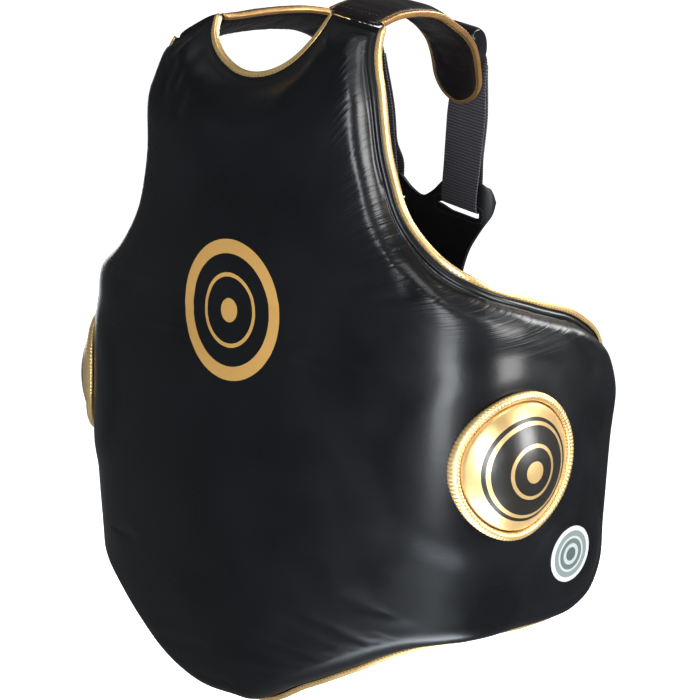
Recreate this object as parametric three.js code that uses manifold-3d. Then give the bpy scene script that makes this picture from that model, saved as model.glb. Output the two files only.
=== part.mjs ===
// Belly pad worn by a trainer: a thick leather shell over the chest, belly and ribs, with shoulder
// straps, a slotted back yoke and two round target pads. Millimetres, +Z up, front towards -Y, the
// wearer's left at +X. The origin lies midway between the straps, level with their undersides. The pad
// stands empty, so its right shoulder and strap lie lower than the left ones.
import * as THREE from 'three';
import { mergeVertices } from 'three/addons/utils/BufferGeometryUtils.js';
import Module from 'manifold-3d';

// Driving dimensions
const GAP = 0.3; // sewn pieces lie this far apart
const RIM = 4; // thickness of the pad at its bound edge
const HEM = 6; // width of the lining turned along that edge
const ROLL = 26; // width over which the pad swells from its edge to full thickness
// The same beside the shoulder seam, where the pad is narrow: its width, the heights between which it
// takes over, and how much of it counts at the neck, between two girths
const SHOULDER_ROLL = { width: 16, low: -110, high: -30, neck: 0.4, from: 25, to: 60 };
// The right shoulder hangs lower by this, growing between two girths and two heights
const DROOP = { by: 19, from: 30, to: 120, low: -120, high: -20 };
const BINDING = { gap: 0.75, proud: 2.6, lap: 1 }; // tape outside the edge, and past each side of it
// Thin is the share of the thickness left at both ends, taper the length over which it fills out
const STRAP = { width: 53, thickness: 12, thin: 0.5, taper: 12, blunt: 0.6 };
// Where each strap starts after the shoulder seam, and where its tape starts
const SEAM = { left: 2, right: 10, tape: 8 };
// Lead of a strap's first sections along it, for each mm across and above its middle, fading out
const SEAM_LEAD = { across: -0.08, above: -0.8, settle: 45 };
// Leather fold, its top and foot measured from the strap's back end
const LOOP = { width: 46, height: 20, top: 74, foot: 31, lift: 0.9, ends: 0.8 };
// Webbing: share of the fold's way to its foot, and height on the fold, where it hangs; the lean and
// aside are its shifts towards the arm at the fold and in the slot
const WEBBING = {
  width: 44, thickness: 2, clear: 1.6, along: 0.885, rise: 13, tail: 0.06, lean: { left: 5, right: -4 },
  aside: 2.5,
};
const YOKE = { thickness: 4, y: 152, sag: 7 };
const SLOT = { x: 45.5, z: -185, length: 51, height: 8, slope: -0.16 };
const BELT = { height: 90, thickness: 4, z: -415, y: 139, lap: 40, from: 18 }; // from the wing's edge
const TARGET = { girth: 231, z: -357, radius: 54.5, rise: 17, full: 2.4, rim: 6, piping: 8, lift: 0.7 };
const LABEL = { girth: 296, z: -450, radius: 25, thickness: 1 };

// Plan of the lining: arcs from the centre front round to the wing
const PLAN = [
  { radius: 680, turn: 15 },
  { radius: 50, turn: 62 },
  { radius: 520, turn: 40 },
];
// Girths between which the padding thins from that of the front to that of the side
const CORNER = { from: 160, to: 270 };
// Upright shape: y of the lining at the centre front, scale of the plan, thickness front and side
const UPRIGHT = [
  { z: -660, y: -66, scale: 0.97, front: 34, side: 26 },
  { z: -530, y: -72, scale: 0.985, front: 42, side: 28 },
  { z: -400, y: -76, scale: 1.0, front: 45, side: 30 },
  { z: -250, y: -76, scale: 1.0, front: 38, side: 30 },
  { z: -140, y: -76, scale: 0.99, front: 33, side: 29 },
  { z: -60, y: -78, scale: 0.98, front: 29, side: 27 },
  { z: -25, y: -73, scale: 0.97, front: 22, side: 22 },
  { z: 20, y: -46, scale: 0.96, front: 17, side: 17 },
];
// Flat pattern of the left half: girth from the centre front, height and the height on the centre line
// that the padding runs to from there; for the edge, how much lower and wider the right half hangs
const NECK = [
  { girth: 0, z: -54, spine: -100 },
  { girth: 20, z: -51, spine: -104 },
  { girth: 37, z: -43, spine: -110 },
  { girth: 51, z: -31, spine: -118 },
  { girth: 61, z: -17, spine: -126 },
  { girth: 66, z: -3, spine: -134 },
];
const EDGE = [
  { girth: 117, z: -12, spine: -146, hang: 0, wide: 3 },
  { girth: 119, z: -30, spine: -155, hang: 0, wide: 6 },
  { girth: 127, z: -66, spine: -175, hang: 0, wide: 6 },
  { girth: 135, z: -119, spine: -200, hang: 5, wide: 3 },
  { girth: 150, z: -161, spine: -222, hang: 12, wide: 0 },
  { girth: 178, z: -191, spine: -242, hang: 17, wide: 0 },
  { girth: 215, z: -213, spine: -260, hang: 17, wide: 0 },
  { girth: 270, z: -232, spine: -280, hang: 11, wide: 0 },
  { girth: 328, z: -252, spine: -302, hang: 4, wide: 0 },
  { girth: 358, z: -274, spine: -320, hang: 0, wide: 0 },
  { girth: 369, z: -305, spine: -345, hang: 0, wide: 0 },
  { girth: 364, z: -360, spine: -385, hang: 0, wide: 0 },
  { girth: 360, z: -430, spine: -430, hang: 0, wide: 0 },
  { girth: 357, z: -478, spine: -465, hang: 0, wide: 0 },
  { girth: 341, z: -504, spine: -480, hang: 0, wide: 0 },
  { girth: 316, z: -516, spine: -488, hang: 0, wide: 0 },
  { girth: 274, z: -518, spine: -498, hang: 3, wide: 0 },
  { girth: 225, z: -516, spine: -510, hang: 10, wide: 0 },
  { girth: 190, z: -521, spine: -524, hang: 26, wide: 0 },
  { girth: 150, z: -538, spine: -540, hang: 40, wide: 0 },
  { girth: 105, z: -564, spine: -558, hang: 43, wide: 0 },
  { girth: 55, z: -592, spine: -570, hang: 30, wide: 0 },
  { girth: 0, z: -620, spine: -580, hang: 0, wide: 0 },
];
// Strap centre lines from the shoulder seam: place along the body, height, distance from the middle
// of the back, which shrinks as the straps near each other, and drop towards the arm
const STRAP_LINE = {
  left: [
    { y: -65, z: -3, x: 92, drop: 0.17 },
    { y: -42, z: 3, x: 91.5, drop: 0.16 },
    { y: -10, z: 5, x: 89.5, drop: 0.15 },
    { y: 20, z: 2.5, x: 86.5, drop: 0.15 },
    { y: 52, z: -7, x: 80, drop: 0.15 },
    { y: 80, z: -18, x: 73.5, drop: 0.13 },
    { y: 100, z: -30, x: 67, drop: 0.1 },
    { y: 115, z: -46, x: 60.5, drop: 0.06 },
    { y: 125, z: -64, x: 55.5, drop: 0.03 },
    { y: 132, z: -84, x: 51, drop: 0 },
  ],
  right: [
    { y: -65, z: -20, x: 92, drop: 0.48 },
    { y: -38, z: -18, x: 91.5, drop: 0.42 },
    { y: -5, z: -14, x: 89.5, drop: 0.37 },
    { y: 30, z: -11.5, x: 86, drop: 0.34 },
    { y: 55, z: -11.5, x: 80, drop: 0.32 },
    { y: 80, z: -15, x: 73.5, drop: 0.27 },
    { y: 101, z: -26, x: 67, drop: 0.19 },
    { y: 115, z: -43, x: 60.5, drop: 0.12 },
    { y: 125, z: -62, x: 55.5, drop: 0.06 },
    { y: 132, z: -84, x: 51, drop: 0.02 },
  ],
};
// Half outline of the yoke: the top edge from its middle to the ear, then the side down the stem
const YOKE_TOP = [
  { x: 0, z: -177 },
  { x: 13, z: -171 },
  { x: 27, z: -159 },
  { x: 43, z: -155 },
  { x: 63, z: -156 },
  { x: 76, z: -162 },
  { x: 82, z: -168 },
  { x: 84, z: -176 },
];
const YOKE_SIDE = [
  { x: 84, z: -176 },
  { x: 82, z: -187 },
  { x: 72, z: -204 },
  { x: 60, z: -221 },
  { x: 51, z: -245 },
  { x: 47, z: -280 },
  { x: 48, z: -340 },
  { x: 54, z: -450 },
];

const STEP = 0.5; // half the step over which a slope is measured
const radians = THREE.MathUtils.degToRad;
const { lerp, smoothstep } = THREE.MathUtils;
const vec = (x, y, z) => new THREE.Vector3(x, y, z);

// Smooth curve through values given at rising places: cubic pieces whose slope at each place is that
// of the parabola through it and its two neighbours.
function smooth(at, values) {
  const last = at.length - 1;
  const chord = (i) => (values[i + 1] - values[i]) / (at[i + 1] - at[i]);
  const slope = at.map((_, i) => {
    if (i === 0 || i === last) return chord(i === 0 ? 0 : last - 1);
    const before = at[i] - at[i - 1];
    const after = at[i + 1] - at[i];
    return (after * chord(i - 1) + before * chord(i)) / (before + after);
  });
  return (x) => {
    let i = 0;
    while (i < last - 1 && x > at[i + 1]) i += 1;
    const h = at[i + 1] - at[i];
    const t = (x - at[i]) / h;
    const rise = t * t * (3 - 2 * t);
    return lerp(values[i], values[i + 1], rise)
      + h * t * (1 - t) * ((1 - t) * slope[i] - t * slope[i + 1]);
  };
}

// Distance of each row of a table along the chords between their places, the first two columns.
function distances(rows) {
  const [a, b] = Object.keys(rows[0]);
  const at = [0];
  for (let i = 1; i < rows.length; i += 1) {
    at.push(at[i - 1] + Math.hypot(rows[i][a] - rows[i - 1][a], rows[i][b] - rows[i - 1][b]));
  }
  return at;
}

// Rows of a table joined by a smooth path along those chords, sampled evenly.
function path(rows, steps) {
  const keys = Object.keys(rows[0]);
  const at = distances(rows);
  const curves = keys.map((key) => smooth(at, rows.map((row) => row[key])));
  return Array.from({ length: steps + 1 }, (_, i) => {
    const s = (at[at.length - 1] * i) / steps;
    return Object.fromEntries(keys.map((key, k) => [key, curves[k](s)]));
  });
}

const mirrored = (rows) => rows.map((row) => ({ ...row, girth: -row.girth })).reverse();
const hung = ({ girth, z, spine, hang, wide }) => ({ girth: girth - wide, z: z - hang, spine });

const uprightAt = UPRIGHT.map((row) => row.z);
const upright = Object.fromEntries(['y', 'scale', 'front', 'side'].map(
  (key) => [key, smooth(uprightAt, UPRIGHT.map((row) => row[key]))],
));

// Point of the lining at a girth from the centre front and a height.
function lining(girth, z) {
  const scale = upright.scale(z);
  let rest = Math.abs(girth) / scale;
  let x = 0;
  let y = 0;
  let heading = 0;
  PLAN.forEach(({ radius, turn }, i) => {
    const run = i === PLAN.length - 1 ? rest : Math.min(rest, radius * radians(turn));
    const next = heading + run / radius;
    x += radius * (Math.sin(next) - Math.sin(heading));
    y += radius * (Math.cos(heading) - Math.cos(next));
    heading = next;
    rest -= run;
  });
  const arm = smoothstep(-girth, DROOP.from, DROOP.to) * smoothstep(z, DROOP.low, DROOP.high);
  return vec(Math.sign(girth) * x * scale, y * scale + upright.y(z), z - DROOP.by * arm);
}

// Outward direction of the lining there.
function outward(girth, z) {
  const along = lining(girth + STEP, z).sub(lining(girth - STEP, z));
  const up = lining(girth, z + STEP).sub(lining(girth, z - STEP));
  return along.cross(up).normalize();
}

const raised = (girth, z, t) => lining(girth, z).addScaledVector(outward(girth, z), t);

// Full thickness of the padding: that of the front, easing to that of the side round the corner.
function thickness(girth, z) {
  const side = smoothstep(Math.abs(girth), CORNER.from, CORNER.to);
  return lerp(upright.front(z), upright.side(z), side);
}

// Closed body from a grid of sections: walls between neighbouring sections, a fan over each open end.
function body(sections, { loop = false, capped = true } = {}) {
  const n = sections[0].length;
  const points = sections.flat();
  const faces = [];
  const last = loop ? sections.length : sections.length - 1;
  for (let i = 0; i < last; i += 1) {
    const here = i * n;
    const next = ((i + 1) % sections.length) * n;
    for (let j = 0; j < n; j += 1) {
      const k = (j + 1) % n;
      faces.push([here + j, here + k, next + k], [here + j, next + k, next + j]);
    }
  }
  if (!loop && capped) {
    const end = (sections.length - 1) * n;
    for (let j = 1; j < n - 1; j += 1) {
      faces.push([0, j + 1, j], [end, end + j, end + j + 1]);
    }
  }
  return solid(points, faces);
}

// Geometry of a closed body with its doubled points joined and its faces pointing out.
function solid(points, faces) {
  const volume = faces.reduce((sum, [a, b, c]) => (
    sum + points[a].dot(points[b].clone().cross(points[c]))
  ), 0);
  const order = volume < 0 ? faces.map(([a, b, c]) => [a, c, b]) : faces;
  const geometry = new THREE.BufferGeometry();
  geometry.setAttribute('position', new THREE.Float32BufferAttribute(
    points.flatMap((p) => p.toArray()), 3,
  ));
  geometry.setIndex(order.flat());
  const joined = mergeVertices(geometry, 1e-3);
  const kept = [];
  const index = joined.index.array;
  for (let i = 0; i < index.length; i += 3) {
    const [a, b, c] = index.slice(i, i + 3);
    if (a !== b && b !== c && c !== a) kept.push(a, b, c);
  }
  joined.setIndex(kept);
  joined.computeVertexNormals();
  return joined;
}

const LEATHER = new THREE.MeshStandardMaterial({ color: '#1b1c20', roughness: 0.34 });
const GOLD = new THREE.MeshStandardMaterial({ color: '#c9a35a', roughness: 0.38, metalness: 0.6 });
const NYLON = new THREE.MeshStandardMaterial({ color: '#2e2d31', roughness: 0.85 });
const WHITE = new THREE.MeshStandardMaterial({ color: '#e9ece9', roughness: 0.5 });

const bellyPad = new THREE.Group();
function add(name, geometry, material) {
  const mesh = new THREE.Mesh(geometry, material);
  mesh.name = name;
  bellyPad.add(mesh);
}

// Outline of the flat pattern, clockwise from the right-hand end of the neck edge
const NECK_STEPS = 20;
const SEAM_STEPS = 3;
const EDGE_STEPS = 76;
const neck = path([...mirrored(NECK).slice(0, -1), ...NECK], NECK_STEPS);
const leftEdge = path([...EDGE, ...mirrored(EDGE).slice(1)], EDGE_STEPS).slice(0, EDGE_STEPS / 2 + 1);
const edge = [...leftEdge, ...mirrored(leftEdge).slice(1).map(hung)];
const seam = (from, to) => path([from, to], SEAM_STEPS);
const outline = [
  ...neck,
  ...seam(neck[NECK_STEPS], edge[0]).slice(1),
  ...edge.slice(1),
  ...seam(edge[EDGE_STEPS], neck[0]).slice(1, -1),
];

// Direction into the pattern at each point of a closed outline, longer where it turns a corner.
function inwards(rows) {
  const n = rows.length;
  return rows.map((row, i) => {
    const side = (a, b) => new THREE.Vector2(b.z - a.z, a.girth - b.girth).normalize();
    const before = side(rows[(i + n - 1) % n], row);
    const after = side(row, rows[(i + 1) % n]);
    const middle = before.clone().add(after).normalize();
    return middle.divideScalar(middle.dot(after));
  });
}
const inward = inwards(outline);

// Front pad: rings from the centre line of the lining out to the bound edge, round it, up the roll
// and back in over the padding to the centre line.
const rollWidth = outline.map(({ girth, z }) => {
  const { width, low, high, neck: share, from, to } = SHOULDER_ROLL;
  return lerp(ROLL, width, smoothstep(z, low, high) * lerp(share, 1, smoothstep(Math.abs(girth), from, to)));
});
const ROLL_RINGS = [0.07, 0.25, 0.55, 1];
// Girths of the upright rows of points over the padding and over the lining
const FILL_GIRTHS = [310, 262, 240, 226, 213, 200, 187, 174, 146, 104, 66, 46, 24, 0];
const LINING_GIRTHS = [335, 305, 275, 245, 230, 214, 198, 182, 110, 60, 30, 0];

function rollRing(part) {
  return outline.map((row, i) => {
    const girth = row.girth + inward[i].x * rollWidth[i] * part;
    const z = row.z + inward[i].y * rollWidth[i] * part;
    const swell = Math.sqrt(1 - (1 - part) ** 2);
    return raised(girth, z, lerp(RIM, thickness(girth, z), swell));
  });
}
function fillRing(column, padded) {
  return outline.map((row, i) => {
    const start = padded ? rollWidth[i] : HEM;
    const from = { girth: row.girth + inward[i].x * start, z: row.z + inward[i].y * start };
    const reach = Math.abs(from.girth);
    const inside = reach > column ? 1 - column / reach : 0;
    const part = column === 0 ? 1 : inside;
    const girth = lerp(from.girth, 0, part);
    const z = lerp(from.z, row.spine, part);
    return raised(girth, z, padded ? thickness(girth, z) : 0);
  });
}
add('front_pad', body([
  ...LINING_GIRTHS.map((column) => fillRing(column, false)).reverse(),
  outline.map(({ girth, z }) => lining(girth, z)),
  rollRing(0),
  ...ROLL_RINGS.map(rollRing),
  ...FILL_GIRTHS.map((column) => fillRing(column, true)),
], { capped: false }), LEATHER);

// Gold tape along part of the outline: a flat-oval section standing on the bound edge.
const TAPE = [[0, 1], [0.6, 1], [1, 0.45], [1, -0.45], [0.6, -1], [0, -1]];
function tape(first, count) {
  return body(Array.from({ length: count + 1 }, (_, k) => {
    const i = (first + k) % outline.length;
    const { girth, z } = outline[i];
    const step = inward[i].clone().multiplyScalar(STEP);
    const out = lining(girth - step.x, z - step.y).sub(lining(girth + step.x, z + step.y));
    return TAPE.map(([reach, across]) => (
      raised(girth, z, RIM / 2 + across * (RIM / 2 + BINDING.lap))
        .addScaledVector(out, BINDING.gap + BINDING.proud * reach)
    ));
  }));
}
add('neck_binding', tape(0, NECK_STEPS), GOLD);
add('edge_binding', tape(NECK_STEPS + SEAM_STEPS, EDGE_STEPS), GOLD);

// Closed slab: a grid of middle points with a direction across it at each, thickened both ways.
function slab(middle, across, thickness) {
  const rows = middle.length;
  const columns = middle[0].length;
  const face = (side) => middle.flatMap((row, i) => row.map((p, j) => (
    p.clone().addScaledVector(across[i][j], (side * thickness) / 2)
  )));
  const points = [...face(1), ...face(-1)];
  const back = rows * columns;
  const at = (i, j) => i * columns + j;
  const faces = [];
  const quad = (a, b, c, d) => faces.push([a, b, c], [a, c, d]);
  for (let i = 0; i < rows - 1; i += 1) {
    for (let j = 0; j < columns - 1; j += 1) {
      const [a, b, c, d] = [at(i, j), at(i, j + 1), at(i + 1, j + 1), at(i + 1, j)];
      quad(a, b, c, d);
      quad(back + d, back + c, back + b, back + a);
    }
  }
  const wall = (a, b) => quad(b, a, back + a, back + b);
  for (let j = 0; j < columns - 1; j += 1) {
    wall(at(0, j), at(0, j + 1));
    wall(at(rows - 1, j + 1), at(rows - 1, j));
  }
  for (let i = 0; i < rows - 1; i += 1) {
    wall(at(i + 1, 0), at(i, 0));
    wall(at(i, columns - 1), at(i + 1, columns - 1));
  }
  return solid(points, faces);
}

// Place on a strap: distance along it in side view, across it towards the arm, and above its middle.
function strapPlace(side) {
  const sign = side === 'left' ? 1 : -1;
  const rows = STRAP_LINE[side];
  const at = distances(rows);
  const [x, y, z, drop] = ['x', 'y', 'z', 'drop'].map((key) => (
    smooth(at, rows.map((row) => row[key]))
  ));
  const middle = (s) => vec(sign * x(s), y(s), z(s));
  const frame = (s) => {
    const along = middle(s + STEP).sub(middle(s - STEP)).normalize();
    const over = vec(sign, 0, -drop(s));
    over.addScaledVector(along, -over.dot(along)).normalize();
    return { over, up: over.clone().cross(along).multiplyScalar(sign) };
  };
  const point = (s, across, rise) => {
    const { over, up } = frame(s);
    const fade = Math.max(0, 1 - s / SEAM_LEAD.settle);
    const lead = fade * (SEAM_LEAD.across * across + SEAM_LEAD.above * rise);
    return middle(s + lead).addScaledVector(over, across).addScaledVector(up, rise);
  };
  return { point, frame, start: SEAM[side], length: at[at.length - 1] };
}

// Padded strap: flat-oval sections, thin at the shoulder seam and rounded off at the back end.
const OVAL = Array.from({ length: 12 }, (_, i) => {
  const angle = (i / 12) * 2 * Math.PI;
  const blunt = (v) => Math.sign(v) * Math.abs(v) ** STRAP.blunt;
  return [blunt(Math.cos(angle)), blunt(Math.sin(angle))];
});
const BODY_STEPS = 13;
const END_ANGLES = [18, 36, 54, 70, 84];
function strap({ point, start, length }) {
  const half = STRAP.width / 2 - GAP;
  const straight = length - half;
  const sections = [];
  for (let i = 0; i <= BODY_STEPS; i += 1) {
    sections.push({ s: lerp(start, straight, i / BODY_STEPS), wide: half });
  }
  END_ANGLES.map(radians).forEach((angle) => {
    sections.push({ s: straight + half * Math.sin(angle), wide: half * Math.cos(angle) });
  });
  return body(sections.map(({ s, wide }) => {
    const fill = lerp(STRAP.thin, 1, Math.min(1, s / STRAP.taper, (length - s) / STRAP.taper));
    return OVAL.map(([a, b]) => point(s, a * wide, (b * STRAP.thickness * fill) / 2));
  }));
}

// Gold tape round a strap: up its neck side, round the back end and down its arm side.
function strapTape({ point, start, length }) {
  const half = STRAP.width / 2;
  const straight = length - half;
  const rail = Array.from(
    { length: BODY_STEPS + 1 },
    (_, i) => lerp(start + SEAM.tape, straight, i / BODY_STEPS),
  );
  const turn = Array.from({ length: 9 }, (_, i) => radians(-90 + 18 * (i + 1)));
  const stops = [
    ...rail.map((s) => ({ s, a: -half, out: [0, -1] })),
    ...turn.map((t) => ({
      s: straight + half * Math.cos(t), a: half * Math.sin(t), out: [Math.cos(t), Math.sin(t)],
    })),
    ...rail.reverse().map((s) => ({ s, a: half, out: [0, 1] })),
  ];
  return body(stops.map(({ s, a, out }) => TAPE.map(([reach, across]) => {
    const far = BINDING.gap + BINDING.proud * reach;
    return point(s + out[0] * far, a + out[1] * far, across * (RIM / 2 + BINDING.lap));
  })));
}

// Leather fold on the back of a strap: a drop-shaped section, by share along and share of the rise,
// carried across the strap.
const FOLD = [
  [0.58, 1], [0.8, 0.82], [0.95, 0.42], [1, 0], [0.8, 0], [0.6, 0], [0.4, 0], [0.2, 0], [0, 0],
  [0.12, 0.45], [0.34, 0.86],
];
const FOLD_ACROSS = [-1, -0.9, -0.5, 0, 0.5, 0.9, 1];
function strapLoop({ point, length }) {
  const base = STRAP.thickness / 2 + LOOP.lift;
  return body(FOLD_ACROSS.map((a) => FOLD.map(([along, rise]) => point(
    length - lerp(LOOP.top, LOOP.foot, along),
    (a * LOOP.width) / 2,
    base + rise * LOOP.height * (Math.abs(a) === 1 ? LOOP.ends : 1),
  ))));
}

const yokeY = (x) => YOKE.y - YOKE.sag * (x / YOKE_SIDE[0].x) ** 2;

// Webbing: from under the fold down in front of the yoke, through its slot and up behind itself.
// The way through, from the middle of the slot:
const THROUGH = [
  { y: -4.3, z: 14 },
  { y: -4.2, z: 6 },
  { y: -3.7, z: 4 },
  { y: -2.2, z: 2.2 },
  { y: 0, z: 1.9 },
  { y: 2.2, z: 2.2 },
  { y: 3.7, z: 4 },
  { y: 4, z: 6 },
  { y: 4, z: 18 },
  { y: 4, z: 34 },
];
function webbing(side, { point, frame, length }) {
  const sign = side === 'left' ? 1 : -1;
  const slotX = SLOT.x + WEBBING.aside;
  const slot = vec(sign * slotX, yokeY(slotX), SLOT.z + SLOT.slope * WEBBING.aside);
  const start = length - lerp(LOOP.top, LOOP.foot, WEBBING.along);
  const top = point(start, WEBBING.lean[side], STRAP.thickness / 2 + LOOP.lift + WEBBING.rise);
  const through = THROUGH.map(({ y, z }) => slot.clone().add(vec(0, y, z)));
  const behind = vec(0, WEBBING.thickness + WEBBING.clear, 0);
  const down = [0, 0.2, 0.4, 0.6, 0.8].map((t) => top.clone().lerp(through[0], t));
  const up = [0.7, 0.55, 0.4, WEBBING.tail].map((t) => top.clone().lerp(through[0], t).add(behind));
  const line = [...down, ...through, ...up];
  const atStrap = frame(start).over;
  const atSlot = vec(sign, yokeY(slotX + STEP) - yokeY(slotX - STEP), SLOT.slope).normalize();
  const over = line.map((p) => (
    atStrap.clone().lerp(atSlot, Math.min(1, (top.z - p.z) / (top.z - through[0].z))).normalize()
  ));
  const across = line.map((p, i) => {
    const along = line[Math.min(i + 1, line.length - 1)].clone().sub(line[Math.max(i - 1, 0)]);
    return along.cross(over[i]).normalize();
  });
  const half = WEBBING.width / 2;
  return slab(
    line.map((p, i) => [-half, half].map((a) => p.clone().addScaledVector(over[i], a))),
    across.map((n) => [n, n]),
    WEBBING.thickness,
  );
}

// Back yoke: a patch between its top edge, its side and the end of the stem, with two slots cut out.
const YOKE_COLUMNS = 8;
const YOKE_ROWS = 14;
function yokePanel() {
  const top = path(YOKE_TOP, YOKE_COLUMNS);
  const side = path(YOKE_SIDE, YOKE_ROWS);
  const start = top[0].z;
  const end = side[YOKE_ROWS];
  const half = (i, j) => {
    const u = i / YOKE_ROWS;
    const p = j / YOKE_COLUMNS;
    const centre = lerp(start, end.z, (side[i].z - side[0].z) / (end.z - side[0].z));
    const x = lerp(top[j].x, end.x * p, u) + lerp(0, side[i].x, p) - lerp(0, lerp(side[0].x, end.x, u), p);
    const z = lerp(top[j].z, end.z, u) + lerp(centre, side[i].z, p)
      - lerp(lerp(start, end.z, u), lerp(side[0].z, end.z, u), p);
    return [x, z];
  };
  const middle = Array.from({ length: YOKE_ROWS + 1 }, (_, i) => (
    Array.from({ length: 2 * YOKE_COLUMNS + 1 }, (__, k) => {
      const j = k - YOKE_COLUMNS;
      const [x, z] = half(i, Math.abs(j));
      return vec(Math.sign(j) * x, yokeY(x), z);
    })
  ));
  return slab(middle, middle.map((row) => row.map(() => vec(0, 1, 0))), YOKE.thickness);
}

const wasm = await Module();
wasm.setup();
function toSolid(geometry) {
  const bare = new THREE.BufferGeometry();
  bare.setAttribute('position', geometry.getAttribute('position'));
  bare.setIndex(geometry.index);
  const { index, attributes } = mergeVertices(bare, 1e-3);
  return new wasm.Manifold(new wasm.Mesh({
    numProp: 3,
    vertProperties: new Float32Array(attributes.position.array),
    triVerts: new Uint32Array(index.array),
  }));
}
function fromSolid(cut) {
  const { vertProperties, triVerts } = cut.getMesh();
  const geometry = new THREE.BufferGeometry();
  geometry.setAttribute('position', new THREE.BufferAttribute(vertProperties, 3));
  geometry.setIndex(new THREE.BufferAttribute(triVerts, 1));
  geometry.computeVertexNormals();
  return geometry;
}
function yoke() {
  const panel = toSolid(yokePanel());
  return fromSolid([1, -1].reduce((left, sign) => {
    const slot = new THREE.BoxGeometry(SLOT.length, 10 * YOKE.thickness, SLOT.height);
    slot.rotateY(-sign * Math.atan(SLOT.slope));
    slot.translate(sign * SLOT.x, YOKE.y, SLOT.z);
    return left.subtract(toSolid(slot));
  }, panel));
}

// Back belt: across the back under the stem, round two corners and forward along the wings.
const TURN_STEPS = 5;
const UNDER_STEM = [64, 32, 0];
function belt() {
  const inset = 2 * GAP + BELT.thickness / 2;
  const seat = YOKE.thickness / 2 + GAP + BELT.thickness / 2;
  const lapEnd = EDGE.find(({ z }) => z < BELT.z).girth - BELT.from;
  const girths = [lapEnd - BELT.lap, lapEnd - BELT.lap / 2, lapEnd];
  const heights = [-0.5, 0, 0.5].map((part) => BELT.z + part * BELT.height);
  const rows = heights.map((z) => {
    const lap = girths.map((girth) => raised(girth, z, -inset));
    const last = lap[2];
    const heading = last.clone().sub(lap[1]).setZ(0).normalize();
    const inner = vec(-heading.y, heading.x, 0);
    const swing = Math.atan2(heading.y, -heading.x);
    const corner = (BELT.y - last.y) / (heading.y * Math.sin(swing) + inner.y * (1 - Math.cos(swing)));
    const turn = Array.from({ length: TURN_STEPS }, (_, k) => {
      const angle = (swing * (k + 1)) / TURN_STEPS;
      return last.clone()
        .addScaledVector(heading, corner * Math.sin(angle))
        .addScaledVector(inner, corner * (1 - Math.cos(angle)));
    });
    const left = [...lap, ...turn, ...UNDER_STEM.map((x) => vec(x, yokeY(x) - seat, z))];
    const right = left.slice(0, -1).map((p) => vec(-p.x, p.y, p.z)).reverse();
    return [...left, ...right];
  });
  const across = rows.map((row) => row.map((p, i) => {
    const along = row[Math.min(i + 1, row.length - 1)].clone().sub(row[Math.max(i - 1, 0)]);
    return along.cross(vec(0, 0, 1)).normalize();
  }));
  return slab(rows, across, BELT.thickness);
}

// Places on the skin of the pad by their distances along and up a flat plane laid on it at one place,
// found by closing in on them in small moves.
const CLOSE_IN = { moves: 30, share: 0.7 };
function pitch(girth, z) {
  const skin = (g, h) => raised(g, h, thickness(g, h));
  const origin = skin(girth, z);
  const out = outward(girth, z);
  const up = vec(0, 0, 1).addScaledVector(out, -out.z).normalize();
  const along = up.clone().cross(out);
  const point = (a, b, rise) => {
    let g = girth;
    let h = z;
    let offset = vec(0, 0, 0);
    for (let i = 0; i < CLOSE_IN.moves; i += 1) {
      offset = skin(g, h).sub(origin);
      g += CLOSE_IN.share * (a - offset.dot(along));
      h += CLOSE_IN.share * (b - offset.dot(up));
    }
    return origin.clone().add(offset).addScaledVector(out, rise);
  };
  return { point };
}

const SPOKES = 32;
const ringOf = (point, radius, rise) => Array.from({ length: SPOKES }, (_, i) => {
  const angle = (i / SPOKES) * 2 * Math.PI;
  return point(radius * Math.cos(angle), radius * Math.sin(angle), rise);
});

// Target dome: flat against the pad, a low wall, then a swell to the middle.
function target({ point }) {
  const under = [0, 0.25, 0.5, 0.75, 1].map((r) => ringOf(point, r * TARGET.radius, TARGET.lift));
  const over = [1, 0.9, 0.72, 0.5, 0.26, 0].map((r) => ringOf(
    point, r * TARGET.radius, TARGET.rim + TARGET.rise * (1 - r ** TARGET.full),
  ));
  return body([...under, ...over], { capped: false });
}

// Piping: a round roll lying on the pad round the dome.
function piping({ point }) {
  const r = TARGET.piping / 2;
  const middle = TARGET.radius + GAP + r;
  return body(Array.from({ length: SPOKES }, (_, i) => {
    const angle = (i / SPOKES) * 2 * Math.PI;
    return Array.from({ length: 8 }, (__, k) => {
      const around = (k / 8) * 2 * Math.PI;
      const radius = middle + r * Math.cos(around);
      return point(radius * Math.cos(angle), radius * Math.sin(angle), GAP + r + r * Math.sin(around));
    });
  }), { loop: true });
}

// Label: a thin round patch that follows the wing.
function label({ point }) {
  const face = (rise) => [0, 0.5, 1].map((r) => ringOf(point, r * LABEL.radius, rise));
  return body([...face(GAP), ...face(GAP + LABEL.thickness).reverse()], { capped: false });
}

['left', 'right'].forEach((side) => {
  const place = strapPlace(side);
  add(`shoulder_strap_${side}`, strap(place), LEATHER);
  add(`strap_binding_${side}`, strapTape(place), GOLD);
  add(`strap_loop_${side}`, strapLoop(place), LEATHER);
  add(`webbing_${side}`, webbing(side, place), NYLON);
  const skin = pitch((side === 'left' ? 1 : -1) * TARGET.girth, TARGET.z);
  add(`side_pad_${side}`, target(skin), GOLD);
  add(`side_pad_piping_${side}`, piping(skin), GOLD);
});
add('back_yoke', yoke(), LEATHER);
add('back_belt', belt(), LEATHER);
add('round_label', label(pitch(LABEL.girth, LABEL.z)), WHITE);

export default bellyPad;
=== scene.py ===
import bmesh
import bpy
import numpy as np
from mathutils import Matrix


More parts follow.
